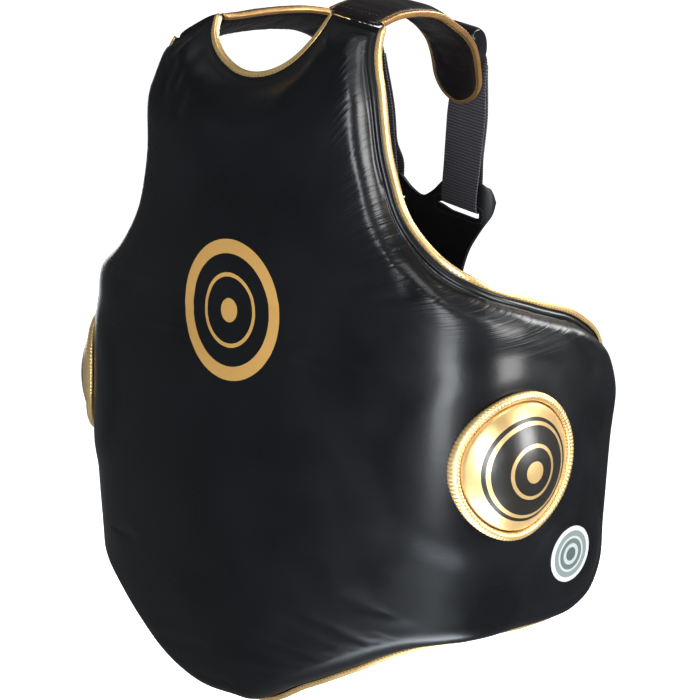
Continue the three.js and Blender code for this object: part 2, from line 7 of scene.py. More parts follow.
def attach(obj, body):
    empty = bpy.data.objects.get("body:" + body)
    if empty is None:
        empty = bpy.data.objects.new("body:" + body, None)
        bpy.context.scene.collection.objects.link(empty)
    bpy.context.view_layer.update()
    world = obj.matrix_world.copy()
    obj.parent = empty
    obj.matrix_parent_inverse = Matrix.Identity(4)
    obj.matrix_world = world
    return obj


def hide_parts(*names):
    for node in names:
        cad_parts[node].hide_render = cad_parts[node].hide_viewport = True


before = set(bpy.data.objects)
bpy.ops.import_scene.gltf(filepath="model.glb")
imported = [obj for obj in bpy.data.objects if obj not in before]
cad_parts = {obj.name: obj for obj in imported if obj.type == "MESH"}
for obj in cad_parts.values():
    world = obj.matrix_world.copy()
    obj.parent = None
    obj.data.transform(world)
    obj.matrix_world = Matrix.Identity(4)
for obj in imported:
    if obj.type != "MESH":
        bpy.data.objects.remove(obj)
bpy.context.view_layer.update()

# Front pad: dense foam in glossy black cowhide over a lining, cut flat, bent round the trunk and
# sewn shut along its edge. It is thick over the belly and thins to a flat rim all the way round.
MM = 0.001
# The trunk's plan, as bends from the centre front to the wing: length along it and radius of bend
PLAN_RUN, PLAN_RADIUS, PLAN_EASE = (178.0, 232.0), (680.0, 50.0, 520.0), 22.0
# Height, y at the centre front, scale of the plan, thickness in front, thickness at the side
UPRIGHT = np.array([
    (-660, -66, 0.97, 34, 26), (-530, -72, 0.985, 42, 28), (-400, -76, 1.0, 45, 30),
    (-250, -76, 1.0, 38, 30), (-140, -76, 0.99, 33, 29), (-60, -78, 0.98, 29, 27),
    (-25, -73, 0.97, 22, 22), (20, -46, 0.96, 17, 17),
], float)
# Girth from the centre front, height, and the height where its padding meets the centre line
NECK = np.array([
    (0, -54, -100), (20, -51, -114), (37, -43, -136), (51, -31, -160), (61, -17, -180), (66, -3, -198),
], float)
# The same for the outer edge of the left half, then how much lower and wider the right half hangs
EDGE = np.array([
    (117, -12, -205, 0, 3), (119, -30, -212, 0, 6), (127, -66, -222, 0, 6), (135, -119, -232, 5, 3),
    (150, -161, -240, 12, 0), (178, -191, -248, 17, 0), (215, -213, -257, 17, 0), (270, -232, -268, 11, 0),
    (328, -252, -282, 4, 0), (358, -274, -297, 0, 0), (369, -305, -315, 0, 0), (364, -360, -345, 0, 0),
    (360, -430, -380, 0, 0), (357, -478, -404, 0, 0), (341, -504, -420, 0, 0), (316, -516, -434, 0, 0),
    (274, -518, -452, 3, 0), (225, -516, -471, 10, 0), (190, -521, -488, 26, 0), (150, -538, -509, 40, 0),
    (105, -564, -533, 43, 0), (55, -592, -557, 30, 0), (0, -620, -580, 0, 0),
], float)
RIM, HEM, ROLL, SHOULDER_ROLL = 4.0, 4.0, 29.0, 20.0
LIP, LIP_FROM, LIP_WIDTH = 2.6, 3.0, 7.0  # the sewn-in fold of leather beside the tape
DROOP = 19.0  # the empty right shoulder sags by this
NECK_SAG = 5.5  # and its neck edge is drawn that way by this
NECK_STEPS, SEAM_STEPS, HALF_EDGE_STEPS = 72, 12, 190
LINING_ROWS, SKIN_ROWS = 30, 76


def smooth_step(x, low, high):
    """Rises from 0 at low to 1 at high as 3t^2 - 2t^3."""
    t = np.clip((x - low) / (high - low), 0, 1)
    return t * t * (3 - 2 * t)


def curve_through(at, values):
    """Cubic curve through values at rising places, each slope that of the parabola through three."""
    slope = np.gradient(values, at, axis=0)

    def curve(x):
        i = np.clip(np.searchsorted(at, x) - 1, 0, len(at) - 2)
        h = at[i + 1] - at[i]
        t = (x - at[i]) / h
        if np.ndim(values) > 1:
            h, t = h[..., None], t[..., None]
        rise = t * t * (3 - 2 * t)
        bow = h * t * (1 - t) * ((1 - t) * slope[i] - t * slope[i + 1])
        return values[i] + (values[i + 1] - values[i]) * rise + bow

    return curve


def run_along(points):
    """Distance of each point from the first, along the chords between them."""
    return np.concatenate([[0], np.cumsum(np.linalg.norm(np.diff(points, axis=0), axis=1))])


def table_path(rows, steps):
    """Rows joined by a smooth path along the chords of their first two columns, evenly sampled."""
    at = run_along(rows[:, :2])
    return curve_through(at, rows)(np.linspace(0, at[-1], steps + 1))


plan_run = np.arange(-120, 620, 0.25)
plan_bend = 1 / np.array(PLAN_RADIUS)[np.searchsorted(PLAN_RUN, np.abs(plan_run))]
ease = np.hanning(int(8 * PLAN_EASE) + 1)
plan_bend = np.convolve(plan_bend, ease / ease.sum(), "same")
plan_heading = np.cumsum(plan_bend) * 0.25
plan_heading -= np.interp(0, plan_run, plan_heading)
plan_x, plan_y = np.cumsum(np.cos(plan_heading)) * 0.25, np.cumsum(np.sin(plan_heading)) * 0.25
plan_x, plan_y = plan_x - np.interp(0, plan_run, plan_x), plan_y - np.interp(0, plan_run, plan_y)
upright_y, upright_scale, upright_front, upright_side = (
    curve_through(UPRIGHT[:, 0], column) for column in UPRIGHT[:, 1:].T
)


def lining(girth, z):
    """Body side of the pad: the plan, run through by the girth, scaled and set back at each height."""
    scale = upright_scale(z)
    run = np.abs(girth) / scale
    sag = smooth_step(-girth, 30, 120) * smooth_step(z, -120, -20)
    x = np.sign(girth) * np.interp(run, plan_run, plan_x) * scale
    y = np.interp(run, plan_run, plan_y) * scale + upright_y(z)
    return np.stack(np.broadcast_arrays(x, y, z - DROOP * sag), axis=-1)


def unit(v):
    """Vectors along the last axis brought to length 1."""
    return v / np.maximum(np.linalg.norm(v, axis=-1, keepdims=True), 1e-9)


def outward(girth, z):
    """Direction away from the wearer, square to the lining."""
    along = lining(girth + 0.5, z) - lining(girth - 0.5, z)
    up = lining(girth, z + 0.5) - lining(girth, z - 0.5)
    return unit(np.cross(along, up))


def raised(girth, z, depth):
    """Point at a depth outside the lining."""
    return lining(girth, z) + outward(girth, z) * np.asarray(depth)[..., None]


def padding(girth, z):
    """Full thickness of the pad: that of the front, easing to that of the side round the corner."""
    side = smooth_step(np.abs(girth), 160, 270)
    return upright_front(z) * (1 - side) + upright_side(z) * side


mirrored = np.array([-1.0, 1.0, 1.0])
neck = table_path(np.vstack([NECK[:0:-1] * mirrored, NECK]), NECK_STEPS)
neck[:, 0] -= NECK_SAG * (1 - (neck[:, 0] / NECK[-1, 0]) ** 2) ** 2
both_edges = np.vstack([EDGE, EDGE[-2::-1] * [-1, 1, 1, 1, 1]])
left_edge = table_path(both_edges, 2 * HALF_EDGE_STEPS)[: HALF_EDGE_STEPS + 1]
right_edge = left_edge[-2::-1, :3] * mirrored - left_edge[-2::-1, [4, 3, 3]] * [1, 1, 0]
seam_part = np.linspace(0, 1, SEAM_STEPS + 1)[1:-1, None]
outline = np.vstack([
    neck,
    neck[-1] + (left_edge[0, :3] - neck[-1]) * seam_part,
    left_edge[:, :3],
    right_edge,
    right_edge[-1] + (neck[0] - right_edge[-1]) * seam_part,
])
neck_points = np.arange(NECK_STEPS + 1)
edge_points = NECK_STEPS + SEAM_STEPS + np.arange(2 * HALF_EDGE_STEPS + 1)


def ring_smooth(values, reach):
    """Running mean round a closed ring with a bell-shaped weight that reaches so many points."""
    steps = np.arange(-3 * reach, 3 * reach + 1)
    weight = np.exp(-0.5 * (steps / reach) ** 2)
    return sum(w * np.roll(values, -k, axis=0) for k, w in zip(steps, weight / weight.sum()))


forward = np.roll(outline, -1, axis=0) - np.roll(outline, 1, axis=0)
inward = unit(ring_smooth(unit(np.stack([forward[:, 1], -forward[:, 0]], axis=1)), 4))
edge_run = run_along(np.vstack([outline[:, :2], outline[:1, :2]]))[:-1]


def edge_distance(girth, z):
    """Least distance from points of the flat pattern to its outline, a closed chain of chords."""
    a, b = outline[:, :2], np.roll(outline[:, :2], -1, axis=0)
    chord, least = b - a, np.full(girth.shape, 1e9)
    for start, way in zip(a, chord):
        part = np.clip(((girth - start[0]) * way[0] + (z - start[1]) * way[1]) / (way @ way), 0, 1)
        gap = np.hypot(girth - start[0] - way[0] * part, z - start[1] - way[1] * part)
        np.minimum(least, gap, out=least)
    return least


def inroads(start, rows):
    """Curves from the edge to the centre line of the pattern, leaving square to the edge: quadratic
    curves whose middle handle stands 18 mm in, and 4 mm beside the neck's ends. One row for each
    share in rows, one column for each point of the outline; gives girth and height."""
    q = rows[:, None, None]
    centre = np.stack([np.zeros(len(outline)), outline[:, 2]], axis=1)
    beside_neck = smooth_step(np.abs(outline[:, 0]), 18, 54) * (np.arange(len(outline)) <= NECK_STEPS)
    handle = ring_smooth(18 - 14 * beside_neck, 2)[:, None] * inward
    way = start * (1 - q) ** 2 + (start + handle) * (2 * q * (1 - q)) + centre * q ** 2
    return way[..., 0], way[..., 1]


def skin_depth(girth, z, inset):
    """Thickness at a distance inside the edge: a low lip beside the tape, then a roll that swells as
    the root of 1 - (1 - p)^3 over its width to the full padding, and more gently beside the neck."""
    narrow = smooth_step(z, -110, -30) * (0.4 + 0.6 * smooth_step(np.abs(girth), 25, 60))
    width = ROLL + (SHOULDER_ROLL - ROLL) * narrow
    below_neck = smooth_step(z, -140, -90) * smooth_step(-np.abs(girth), -95, -70)
    lipped = smooth_step(z, -330, -270) * (1 - 0.6 * below_neck)
    p = np.clip((inset - LIP_FROM - 0.85 * LIP_WIDTH * lipped) / width, 0, 1)
    lip = LIP * lipped * np.sin(np.pi * np.clip((inset - LIP_FROM) / LIP_WIDTH, 0, 1)) ** 0.8
    swell = np.sqrt(1 - (1 - p) ** 3)
    by_neck = smooth_step(z, -120, -70) * (1 - smooth_step(np.abs(girth), 78, 100))
    swell = swell + (smooth_step(p, 0, 1) - swell) * 0.8 * by_neck
    return RIM + lip + (padding(girth, z) - RIM) * swell


def grid_faces(rows, columns, ring=False):
    """Quads between neighbouring points of a grid, numbered row by row; ring joins the last column
    to the first."""
    at = np.arange(rows * columns).reshape(rows, columns)
    if ring:
        at = np.hstack([at, at[:, :1]])
    return np.stack([at[:-1, :-1], at[:-1, 1:], at[1:, 1:], at[1:, :-1]], axis=-1).reshape(-1, 4)


def piece(name, points, faces, material, maps=None, marks=None):
    """Mesh object from points in millimetres: maps are UV maps and marks are numbers, per point.
    Doubled points are joined and faces turned outwards."""
    mesh = bpy.data.meshes.new(name)
    mesh.from_pydata(points.reshape(-1, 3) * MM, [], faces.tolist())
    corner = np.zeros(len(mesh.loops), np.int32)
    mesh.loops.foreach_get("vertex_index", corner)
    for key, values in (maps or {}).items():
        layer = mesh.uv_layers.new(name=key)
        layer.data.foreach_set("uv", values.reshape(-1, 2)[corner].astype(np.float32).ravel())
    for key, values in (marks or {}).items():
        attribute = mesh.attributes.new(key, "FLOAT", "POINT")
        attribute.data.foreach_set("value", values.astype(np.float32).ravel())
    work = bmesh.new()
    work.from_mesh(mesh)
    bmesh.ops.remove_doubles(work, verts=work.verts, dist=1e-6)
    bmesh.ops.recalc_face_normals(work, faces=work.faces)
    work.to_mesh(mesh)
    work.free()
    mesh.shade_smooth()
    mesh.materials.append(material)
    made = bpy.data.objects.new(name, mesh)
    bpy.context.scene.collection.objects.link(made)
    return made


def belongs(made, node=None):
    """The piece rides the one body and stands for a CAD node, whose part is hidden."""
    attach(made, "root")
    if node:
        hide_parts(node)


def to_linear(colour):
    """sRGB hex to linear red, green, blue and alpha."""
    part = np.array([int(colour[i:i + 2], 16) for i in (1, 3, 5)]) / 255
    return (*np.where(part <= 0.04045, part / 12.92, ((part + 0.055) / 1.055) ** 2.4), 1.0)


def put(tree, kind, links=None, **settings):
    """Adds a node: settings are its own options, links its inputs by name or number, each a value or
    another node's output."""
    made = tree.nodes.new(kind)
    for key, value in settings.items():
        setattr(made, key, value)
    for key, value in (links or {}).items():
        if isinstance(value, bpy.types.NodeSocket):
            tree.links.new(value, made.inputs[key])
        else:
            made.inputs[key].default_value = value
    return made


def start_material(name, **constants):
    """Empty material with its surface shader joined to the output and some of its numbers set."""
    material = bpy.data.materials.new(name)
    material.use_nodes = True
    material.node_tree.nodes.clear()
    shader = put(material.node_tree, "ShaderNodeBsdfPrincipled")
    put(material.node_tree, "ShaderNodeOutputMaterial", {"Surface": shader.outputs[0]})
    for key, value in constants.items():
        shader.inputs[key.replace("_", " ")].default_value = value
    return material, material.node_tree, shader


# Finished cowhide: dyed-through black with a plated, waxed top that mirrors lights softly. A pebble
# grain of about 1.5 mm breaks the gloss, with slow waves of polish some 70 mm long.
HIDE_DARK, HIDE_LIGHT = "#040506", "#0b0c0f"


def hide(name, dark=HIDE_DARK, light=HIDE_LIGHT, gloss=(0.26, 0.40), first_bump=None, mirror=0.27):
    """Black leather; gives its material, nodes, shader and the nodes for colour, gloss and polish."""
    material, tree, shader = start_material(
        name, Specular_IOR_Level=mirror, Coat_Weight=mirror * 0.3, Coat_Roughness=0.16,
    )
    place = put(tree, "ShaderNodeTexCoord").outputs["Object"]
    polish = put(tree, "ShaderNodeTexNoise", {"Vector": place, "Scale": 1000 / 70, "Detail": 3.0})
    tone = put(tree, "ShaderNodeMix", {
        0: polish.outputs[0], 6: to_linear(dark), 7: to_linear(light),
    }, data_type="RGBA")
    rough = put(tree, "ShaderNodeMapRange", {
        "Value": polish.outputs[0], "From Min": 0.3, "From Max": 0.7, "To Min": gloss[0], "To Max": gloss[1],
    })
    scuff = put(tree, "ShaderNodeTexNoise", {"Vector": place, "Scale": 1000 / 9, "Detail": 4.0})
    grain = put(tree, "ShaderNodeTexVoronoi", {
        "Vector": place, "Scale": 1000 / 1.5, "Smoothness": 0.6,
    }, feature="SMOOTH_F1")
    scuffed = put(tree, "ShaderNodeBump", {"Height": scuff.outputs[0], "Strength": 0.2, "Distance": 0.0006})
    if first_bump:
        tree.links.new(first_bump(tree, place, polish), scuffed.inputs["Normal"])
    grained = put(tree, "ShaderNodeBump", {
        "Height": grain.outputs["Distance"], "Strength": 0.10, "Distance": 0.0003,
        "Normal": scuffed.outputs[0],
    })
    tree.links.new(tone.outputs[2], shader.inputs["Base Color"])
    tree.links.new(rough.outputs[0], shader.inputs["Roughness"])
    tree.links.new(grained.outputs[0], shader.inputs["Normal"])
    return material, tree, shader, tone, rough, polish


# On the pad, puckers some 5 mm apart run slantwise in from the armholes and fade within 50 mm, and the
# shoulders are rubbed dull. The chest carries a plain bullseye in flat gold foil, printed on.
PUCKER_APART, PUCKER_LONG, SHOULDER_ROUGH = 5.0, 38.0, 0.75
EMBLEM_Z, EMBLEM_WIDE, EMBLEM_TALL = -251.0, 53.0, 61.0
PRINT_GOLD = "#bf9554"


def puckers(tree, place, polish):
    """Bump of slanting puckers: noise drawn out along the slant, fading away from the edge."""
    edge = put(tree, "ShaderNodeUVMap", uv_map="edge").outputs[0]
    lean = put(tree, "ShaderNodeMapping", {
        "Vector": edge, "Rotation": (0, 0, 0.75), "Scale": (1000 / PUCKER_APART, 1000 / PUCKER_LONG, 1),
    })
    pucker = put(tree, "ShaderNodeTexNoise", {
        "Vector": lean.outputs[0], "Scale": 1.0, "Detail": 2.0, "Distortion": 0.5,
    })
    near = put(tree, "ShaderNodeAttribute", attribute_name="pucker").outputs["Fac"]
    patchy = put(tree, "ShaderNodeMapRange", {
        "Value": polish.outputs[0], "From Min": 0.4, "From Max": 0.6, "To Min": 0.4, "To Max": 1.0,
    })
    amount = put(tree, "ShaderNodeMath", {0: near, 1: patchy.outputs[0]}, operation="MULTIPLY")
    rise = put(tree, "ShaderNodeMath", {0: amount.outputs[0], 1: pucker.outputs[0]}, operation="MULTIPLY")
    return put(tree, "ShaderNodeBump", {
        "Height": rise.outputs[0], "Strength": 0.6, "Distance": 0.002,
    }).outputs[0]


WHITE, BLACK = (1, 1, 1, 1), (0, 0, 0, 1)


def flat_rings(tree, radius, reach, bands):
    """Colour by radius in flat rings: each band keeps its colour from its own radius to the next one's,
    and reach is a radius past the last."""
    share = put(tree, "ShaderNodeMath", {0: radius, 1: reach}, operation="DIVIDE").outputs[0]
    made = put(tree, "ShaderNodeValToRGB", {0: share})
    made.color_ramp.interpolation = "CONSTANT"
    made.color_ramp.elements.remove(made.color_ramp.elements[1])
    made.color_ramp.elements[0].color = bands[0][1]
    for start, colour in bands[1:]:
        made.color_ramp.elements.new(start / reach).color = colour
    return made.outputs[0]


cowhide, tree, shader, tone, rough, polish = hide("finished_cowhide", first_bump=puckers)
pattern = put(tree, "ShaderNodeUVMap", uv_map="pattern").outputs[0]
aim = put(tree, "ShaderNodeMapping", {
    "Vector": pattern,
    "Location": (0, -EMBLEM_Z / EMBLEM_TALL, 0),
    "Scale": (1000 / EMBLEM_WIDE, 1000 / EMBLEM_TALL, 0),
})
from_middle = put(tree, "ShaderNodeVectorMath", {0: aim.outputs[0]}, operation="LENGTH").outputs["Value"]
rings = flat_rings(tree, from_middle, 1.25, (
    (0, WHITE), (0.17, BLACK), (0.47, WHITE), (0.53, BLACK), (0.8, WHITE), (1.0, BLACK),
))
edge = put(tree, "ShaderNodeUVMap", uv_map="edge").outputs[0]
inset = put(tree, "ShaderNodeSeparateXYZ", {0: edge}).outputs[1]
outside = put(tree, "ShaderNodeMath", {0: inset, 1: 0.0}, operation="GREATER_THAN").outputs[0]
printed = put(tree, "ShaderNodeMath", {0: rings, 1: outside}, operation="MULTIPLY").outputs[0]
colour = put(tree, "ShaderNodeMix", {
    0: printed, 6: tone.outputs[2], 7: to_linear(PRINT_GOLD),
}, data_type="RGBA")
foil = put(tree, "ShaderNodeMath", {0: printed, 1: 0.55}, operation="MULTIPLY")
dulled = put(tree, "ShaderNodeMath", {0: printed, 1: 0.12, 2: rough.outputs[0]}, operation="MULTIPLY_ADD")
tree.links.new(colour.outputs[2], shader.inputs["Base Color"])
tree.links.new(foil.outputs[0], shader.inputs["Metallic"])
rubbed = put(tree, "ShaderNodeAttribute", attribute_name="dull").outputs["Fac"]
matt = put(tree, "ShaderNodeMath", {0: rubbed, 1: SHOULDER_ROUGH}, operation="MULTIPLY").outputs[0]
worn = put(tree, "ShaderNodeMath", {0: dulled.outputs[0], 1: matt}, operation="MAXIMUM")
tree.links.new(worn.outputs[0], shader.inputs["Roughness"])

SLACK = 3.0  # the cover starts this far inside the place that it is blown out to
SEWN_ON = ((231.0, -357.0, 66.0), (-231.0, -357.0, 66.0), (296.0, -450.0, 30.0))  # targets and label
hem = outline[:, :2] + inward * HEM
under_g, under_z = inroads(hem, np.linspace(1, 0, LINING_ROWS))
skin_g, skin_z = inroads(outline[:, :2], np.linspace(0, 1, SKIN_ROWS))
skin_inset = edge_distance(skin_g, skin_z)
skin_inset[0] = 0
skin_t = skin_depth(skin_g, skin_z, skin_inset)
rim_t = np.array([0, 0.5, 2.5])[:, None] + 0 * edge_run
girth = np.vstack([under_g, outline[:, 0] + 0 * rim_t, skin_g])
height = np.vstack([under_z, outline[:, 1] + 0 * rim_t, skin_z])
inset = np.vstack([0 * under_g - HEM, 0 * rim_t, skin_inset])
hold = 1 - smooth_step(inset, 6, 30)
for at_girth, at_z, reach in SEWN_ON:
    hold = np.maximum(hold, 1 - smooth_step(np.hypot(girth - at_girth, height - at_z), reach, reach + 30))
depth = np.vstack([0 * under_g, rim_t, skin_t])
depth = depth - SLACK * (1 - hold)
pucker = smooth_step(np.abs(girth), 70, 100) * smooth_step(height, -300, -235)
pucker = pucker * smooth_step(inset, 4, 12) * (1 - smooth_step(inset, 16, 52))
dull = smooth_step(height, -95, -45) * (1 - 0.6 * smooth_step(inset, 8, 24))
front_pad = piece(
    "leather_front_pad", raised(girth, height, depth), grid_faces(*girth.shape, ring=True), cowhide,
    maps={
        "pattern": np.stack([girth, height], axis=-1) * MM,
        "edge": np.stack([np.broadcast_to(edge_run, girth.shape), inset], axis=-1) * MM,
    },
    marks={
        "hold": np.round(hold, 1), "girth": girth, "height": height, "inset": inset,
        "pucker": pucker, "dull": dull,
    },
)


def read_points(mesh):
    """Points of a mesh as an array."""
    flat = np.zeros(len(mesh.vertices) * 3, np.float32)
    mesh.vertices.foreach_get("co", flat)
    return flat.reshape(-1, 3).astype(float)


def read_mark(mesh, key):
    """One number per point, as stored with the piece."""
    flat = np.zeros(len(mesh.vertices), np.float32)
    mesh.attributes[key].data.foreach_get("value", flat)
    return flat.astype(float)


def blow_out(made, pressure, slack, most):
    """Cloth run: air pressure inside, no gravity, held where the mark says so and cut slightly large.
    Each point then moves by most x tanh(move / most), so none goes further than most."""
    hold = read_mark(made.data, "hold")
    group = made.vertex_groups.new(name="held")
    for level in np.unique(hold[hold > 0]):
        group.add(np.flatnonzero(hold == level).tolist(), float(level), "REPLACE")
    cloth = made.modifiers.new("swell", "CLOTH")
    cloth.settings.quality = 4
    cloth.settings.mass = 0.4
    cloth.settings.tension_stiffness = cloth.settings.compression_stiffness = 25
    cloth.settings.shear_stiffness = 10
    cloth.settings.bending_stiffness = 1.5
    cloth.settings.use_pressure = True
    cloth.settings.uniform_pressure_force = pressure
    cloth.settings.shrink_min = -slack
    cloth.settings.vertex_group_mass = "held"
    cloth.settings.effector_weights.gravity = 0
    cloth.collision_settings.use_collision = False
    before = read_points(made.data)
    for step in range(1, 21):
        bpy.context.scene.frame_set(step)
    after = read_points(made.evaluated_get(bpy.context.evaluated_depsgraph_get()).data)
    move = after - before
    size = np.maximum(np.linalg.norm(move, axis=1, keepdims=True), 1e-9)
    made.modifiers.remove(cloth)
    bpy.context.scene.frame_set(1)
    made.data.vertices.foreach_set("co", (before + move / size * most * np.tanh(size / most)).ravel())
    made.data.update()


blow_out(front_pad, pressure=4.0, slack=0.0015, most=5 * MM)
# Creases pressed into the skin by wear: from and to, in girth and height, then width and depth
CREASES = (
    (-66, -34, -76, -62, 5, 1.6), (-56, -58, -70, -84, 6, 1.4), (-84, -40, -90, -66, 5, 1.0),
    (176, -196, 200, -226, 5, 1.8), (194, -214, 226, -238, 6, 1.6), (150, -176, 166, -214, 6, 1.2),
    (76, -30, 104, -38, 4, 1.3), (84, -52, 108, -70, 6, 1.0), (300, -262, 318, -290, 8, 1.0),
)


def press_in(made, creases):
    """Moves the skin inwards by depth x exp(-(d / width)^2), d being the distance to a crease's line."""
    mesh = made.data
    g, z, inset = (read_mark(mesh, key) for key in ("girth", "height", "inset"))
    normal = np.zeros(len(mesh.vertices) * 3, np.float32)
    mesh.vertices.foreach_get("normal", normal)
    dent = np.zeros(len(g))
    for g0, z0, g1, z1, width, depth in creases:
        way = np.array([g1 - g0, z1 - z0])
        part = np.clip(((g - g0) * way[0] + (z - z0) * way[1]) / (way @ way), 0, 1)
        gap = np.hypot(g - g0 - way[0] * part, z - z0 - way[1] * part)
        dent += depth * np.exp(-(gap / width) ** 2) * (inset > 8)
    moved = read_points(mesh) - normal.reshape(-1, 3) * dent[:, None] * MM
    mesh.vertices.foreach_set("co", moved.ravel())
    mesh.update()


press_in(front_pad, CREASES)
belongs(front_pad, "front_pad")

# Neck and edge tapes: gold-foiled leather, folded over the pad's rim and sewn through near its front
# edge. The section is a hook that stands 2.6 mm proud of the rim and laps as far over both its sides.
TAPE_GAP, TAPE_PROUD, TAPE_LAP = 0.75, 2.6, 1.0


# Gold leather: metal foil under a clear coat, so it mirrors in its own yellow. A grain of about 1 mm
# and cross gathers every few millimetres break the mirror up.
def gold(name, colour="#dcc08a", shade="#c19c5e", gather=3.5):
    """Gold foil leather; gives its material, nodes, shader and colour node."""
    material, tree, shader = start_material(name, Metallic=0.75, Coat_Weight=0.15, Coat_Roughness=0.2)
    place = put(tree, "ShaderNodeTexCoord").outputs["Object"]
    worn = put(tree, "ShaderNodeTexNoise", {"Vector": place, "Scale": 1000 / 22, "Detail": 3.0})
    tone = put(tree, "ShaderNodeMix", {
        0: worn.outputs[0], 6: to_linear(shade), 7: to_linear(colour),
    }, data_type="RGBA")
    rough = put(tree, "ShaderNodeMapRange", {"Value": worn.outputs[0], "To Min": 0.26, "To Max": 0.44})
    gathers = put(tree, "ShaderNodeTexNoise", {"Vector": place, "Scale": 1000 / gather, "Detail": 2.0})
    grain = put(tree, "ShaderNodeTexVoronoi", {
        "Vector": place, "Scale": 1000 / 1.0, "Smoothness": 0.6,
    }, feature="SMOOTH_F1")
    uneven = put(tree, "ShaderNodeBump", {"Height": gathers.outputs[0], "Strength": 0.3, "Distance": 0.0005})
    grained = put(tree, "ShaderNodeBump", {
        "Height": grain.outputs["Distance"], "Strength": 0.2, "Distance": 0.0002, "Normal": uneven.outputs[0],
    })
    tree.links.new(tone.outputs[2], shader.inputs["Base Color"])
    tree.links.new(rough.outputs[0], shader.inputs["Roughness"])
    tree.links.new(grained.outputs[0], shader.inputs["Normal"])
    return material, tree, shader, tone


gold_tape = gold("gold_foil_tape")[0]


def tape_section():
    """Closed hook that grips the rim: reach past the rim, up to 1, and place across it from -1 to 1."""
    turn = np.linspace(0, np.pi / 2, 9)
    half = np.column_stack([
        np.concatenate([np.cos(turn) ** 0.55, [-0.3, -0.6, -0.85, -0.93, -0.85, -0.4, 0, 0]]),
        np.concatenate([1.1 * np.sin(turn) ** 0.75, [1.12, 1.12, 1.07, 0.97, 0.88, 0.86, 0.85, 0.4]]),
    ])
    return np.vstack([half, [0, 0], half[:0:-1] * [1, -1]]).T


def capped_tube(sections):
    """Faces of a tube through sections of equal count, and its sections with a middle point added at
    each end to close it."""
    count = sections.shape[1]
    first = np.repeat(sections[:1].mean(axis=1, keepdims=True), count, axis=1)
    last = np.repeat(sections[-1:].mean(axis=1, keepdims=True), count, axis=1)
    closed = np.concatenate([first, sections, last])
    return closed, grid_faces(len(closed), count, ring=True)


def rim_place(points, reach, across):
    """Places on the tape over points of the outline, by reach past the rim and place across it."""
    g, z = outline[points, 0], outline[points, 1]
    step = inward[points] * 0.5
    out = unit(lining(g - step[:, 0], z - step[:, 1]) - lining(g + step[:, 0], z + step[:, 1]))
    lift = RIM / 2 + across * (RIM / 2 + TAPE_LAP)
    far = TAPE_GAP + TAPE_PROUD * reach
    on_rim = raised(g[:, None], z[:, None], lift[None, :] + 0 * g[:, None])
    return on_rim + out[:, None, :] * far[None, :, None]


for name, node, points in (
    ("neck_tape", "neck_binding", neck_points), ("edge_tape", "edge_binding", edge_points),
):
    belongs(piece(name, *capped_tube(rim_place(points, *tape_section())), gold_tape), node)

# Stitching: waxed thread, each stitch a short bead that dips into the leather at both ends.
# The thread on gold is old gold, that on black is black.
thread_gold = start_material("gold_thread", Base_Color=to_linear("#7d5a26"), Roughness=0.55)[0]
thread_black = start_material("black_thread", Base_Color=to_linear("#17171a"), Roughness=0.5)[0]


def stitches(name, path, rise, material, slot, pitch=4.0, thick=0.45):
    """Row of beads along a path, rise giving the way out of the leather at each of its points. Each is
    a spindle two thirds of the pitch long: radius thick x (1 - u^4) at u from -1 to 1 along it."""
    run = run_along(path)
    at = np.arange(pitch / 2, run[-1], pitch)
    middle, up = curve_through(run, path)(at), unit(curve_through(run, rise)(at))
    along = unit(curve_through(run, path)(at + 0.2) - curve_through(run, path)(at - 0.2))
    side = np.cross(along, up)
    u, turn = np.linspace(-1, 1, 6), np.arange(6) * np.pi / 3
    radius = thick * (1 - u ** 4)
    ahead, dip = (u * pitch / 3)[None, :, None], (0.5 * thick * u ** 2)[None, :, None]
    spine = middle[:, None] + along[:, None] * ahead - up[:, None] * dip
    round_it = side[:, None] * np.cos(turn)[None, :, None] + up[:, None] * np.sin(turn)[None, :, None]
    points = spine[:, :, None] + round_it[:, None] * radius[None, :, None, None]
    one = grid_faces(6, 6, ring=True)
    faces = (one[None] + (np.arange(len(at)) * 36)[:, None, None]).reshape(-1, 4)
    belongs(piece(name, points, faces, material), None)


def tape_seam(points, across, reach):
    """Path along a tape at one place of its section, and the way out of it there."""
    path = rim_place(points, np.array([reach]), np.array([across]))[:, 0]
    outer = rim_place(points, np.array([reach]), np.array([across + 0.2]))[:, 0]
    return path, outer - path


stitches("neck_stitches", *tape_seam(neck_points[1:-1], 1.14, -0.4), thread_gold, "gold_leather")
stitches("edge_stitches", *tape_seam(edge_points[1:-1], 1.14, -0.4), thread_gold, "gold_leather")

# Shoulder straps: foam in black cowhide, sewn to the pad at the shoulder and rounded off behind.
# The section is a flat oval; the straps bend over the shoulders towards each other and hang behind.
STRAP_WIDTH, STRAP_THICK, STRAP_RIM, STRAP_THIN, STRAP_TAPER = 53.0, 12.0, 3.0, 0.5, 12.0
STRAP_NARROWS = 0.12  # share of its width that a strap loses towards its end
# From the shoulder seam: place along the body, height, distance from the middle of the back and drop
# towards the arm
STRAP_LINE = {
    "left": np.array([
        (-65, -3, 92, 0.17), (-42, 3, 91.5, 0.16), (-10, 5, 89.5, 0.15), (20, 2.5, 86.5, 0.15),
        (52, -7, 80, 0.15), (80, -18, 74, 0.13), (100, -30, 68, 0.1), (115, -46, 62, 0.06),
        (125, -64, 57.5, 0.03), (131.5, -81, 54, 0),
    ]),
    "right": np.array([
        (-65, -20, 92, 0.48), (-38, -18, 91.5, 0.42), (-5, -14, 89.5, 0.37), (30, -11.5, 86, 0.34),
        (55, -11.5, 80, 0.32), (80, -15, 74, 0.27), (101, -26, 68.5, 0.19), (115, -43, 63.5, 0.12),
        (125, -62, 59.5, 0.06), (132, -84, 56, 0.02),
    ]),
}
STRAP_START, TAPE_START = {"left": 2.0, "right": 10.0}, 2.5
SIGN = {"left": 1.0, "right": -1.0}
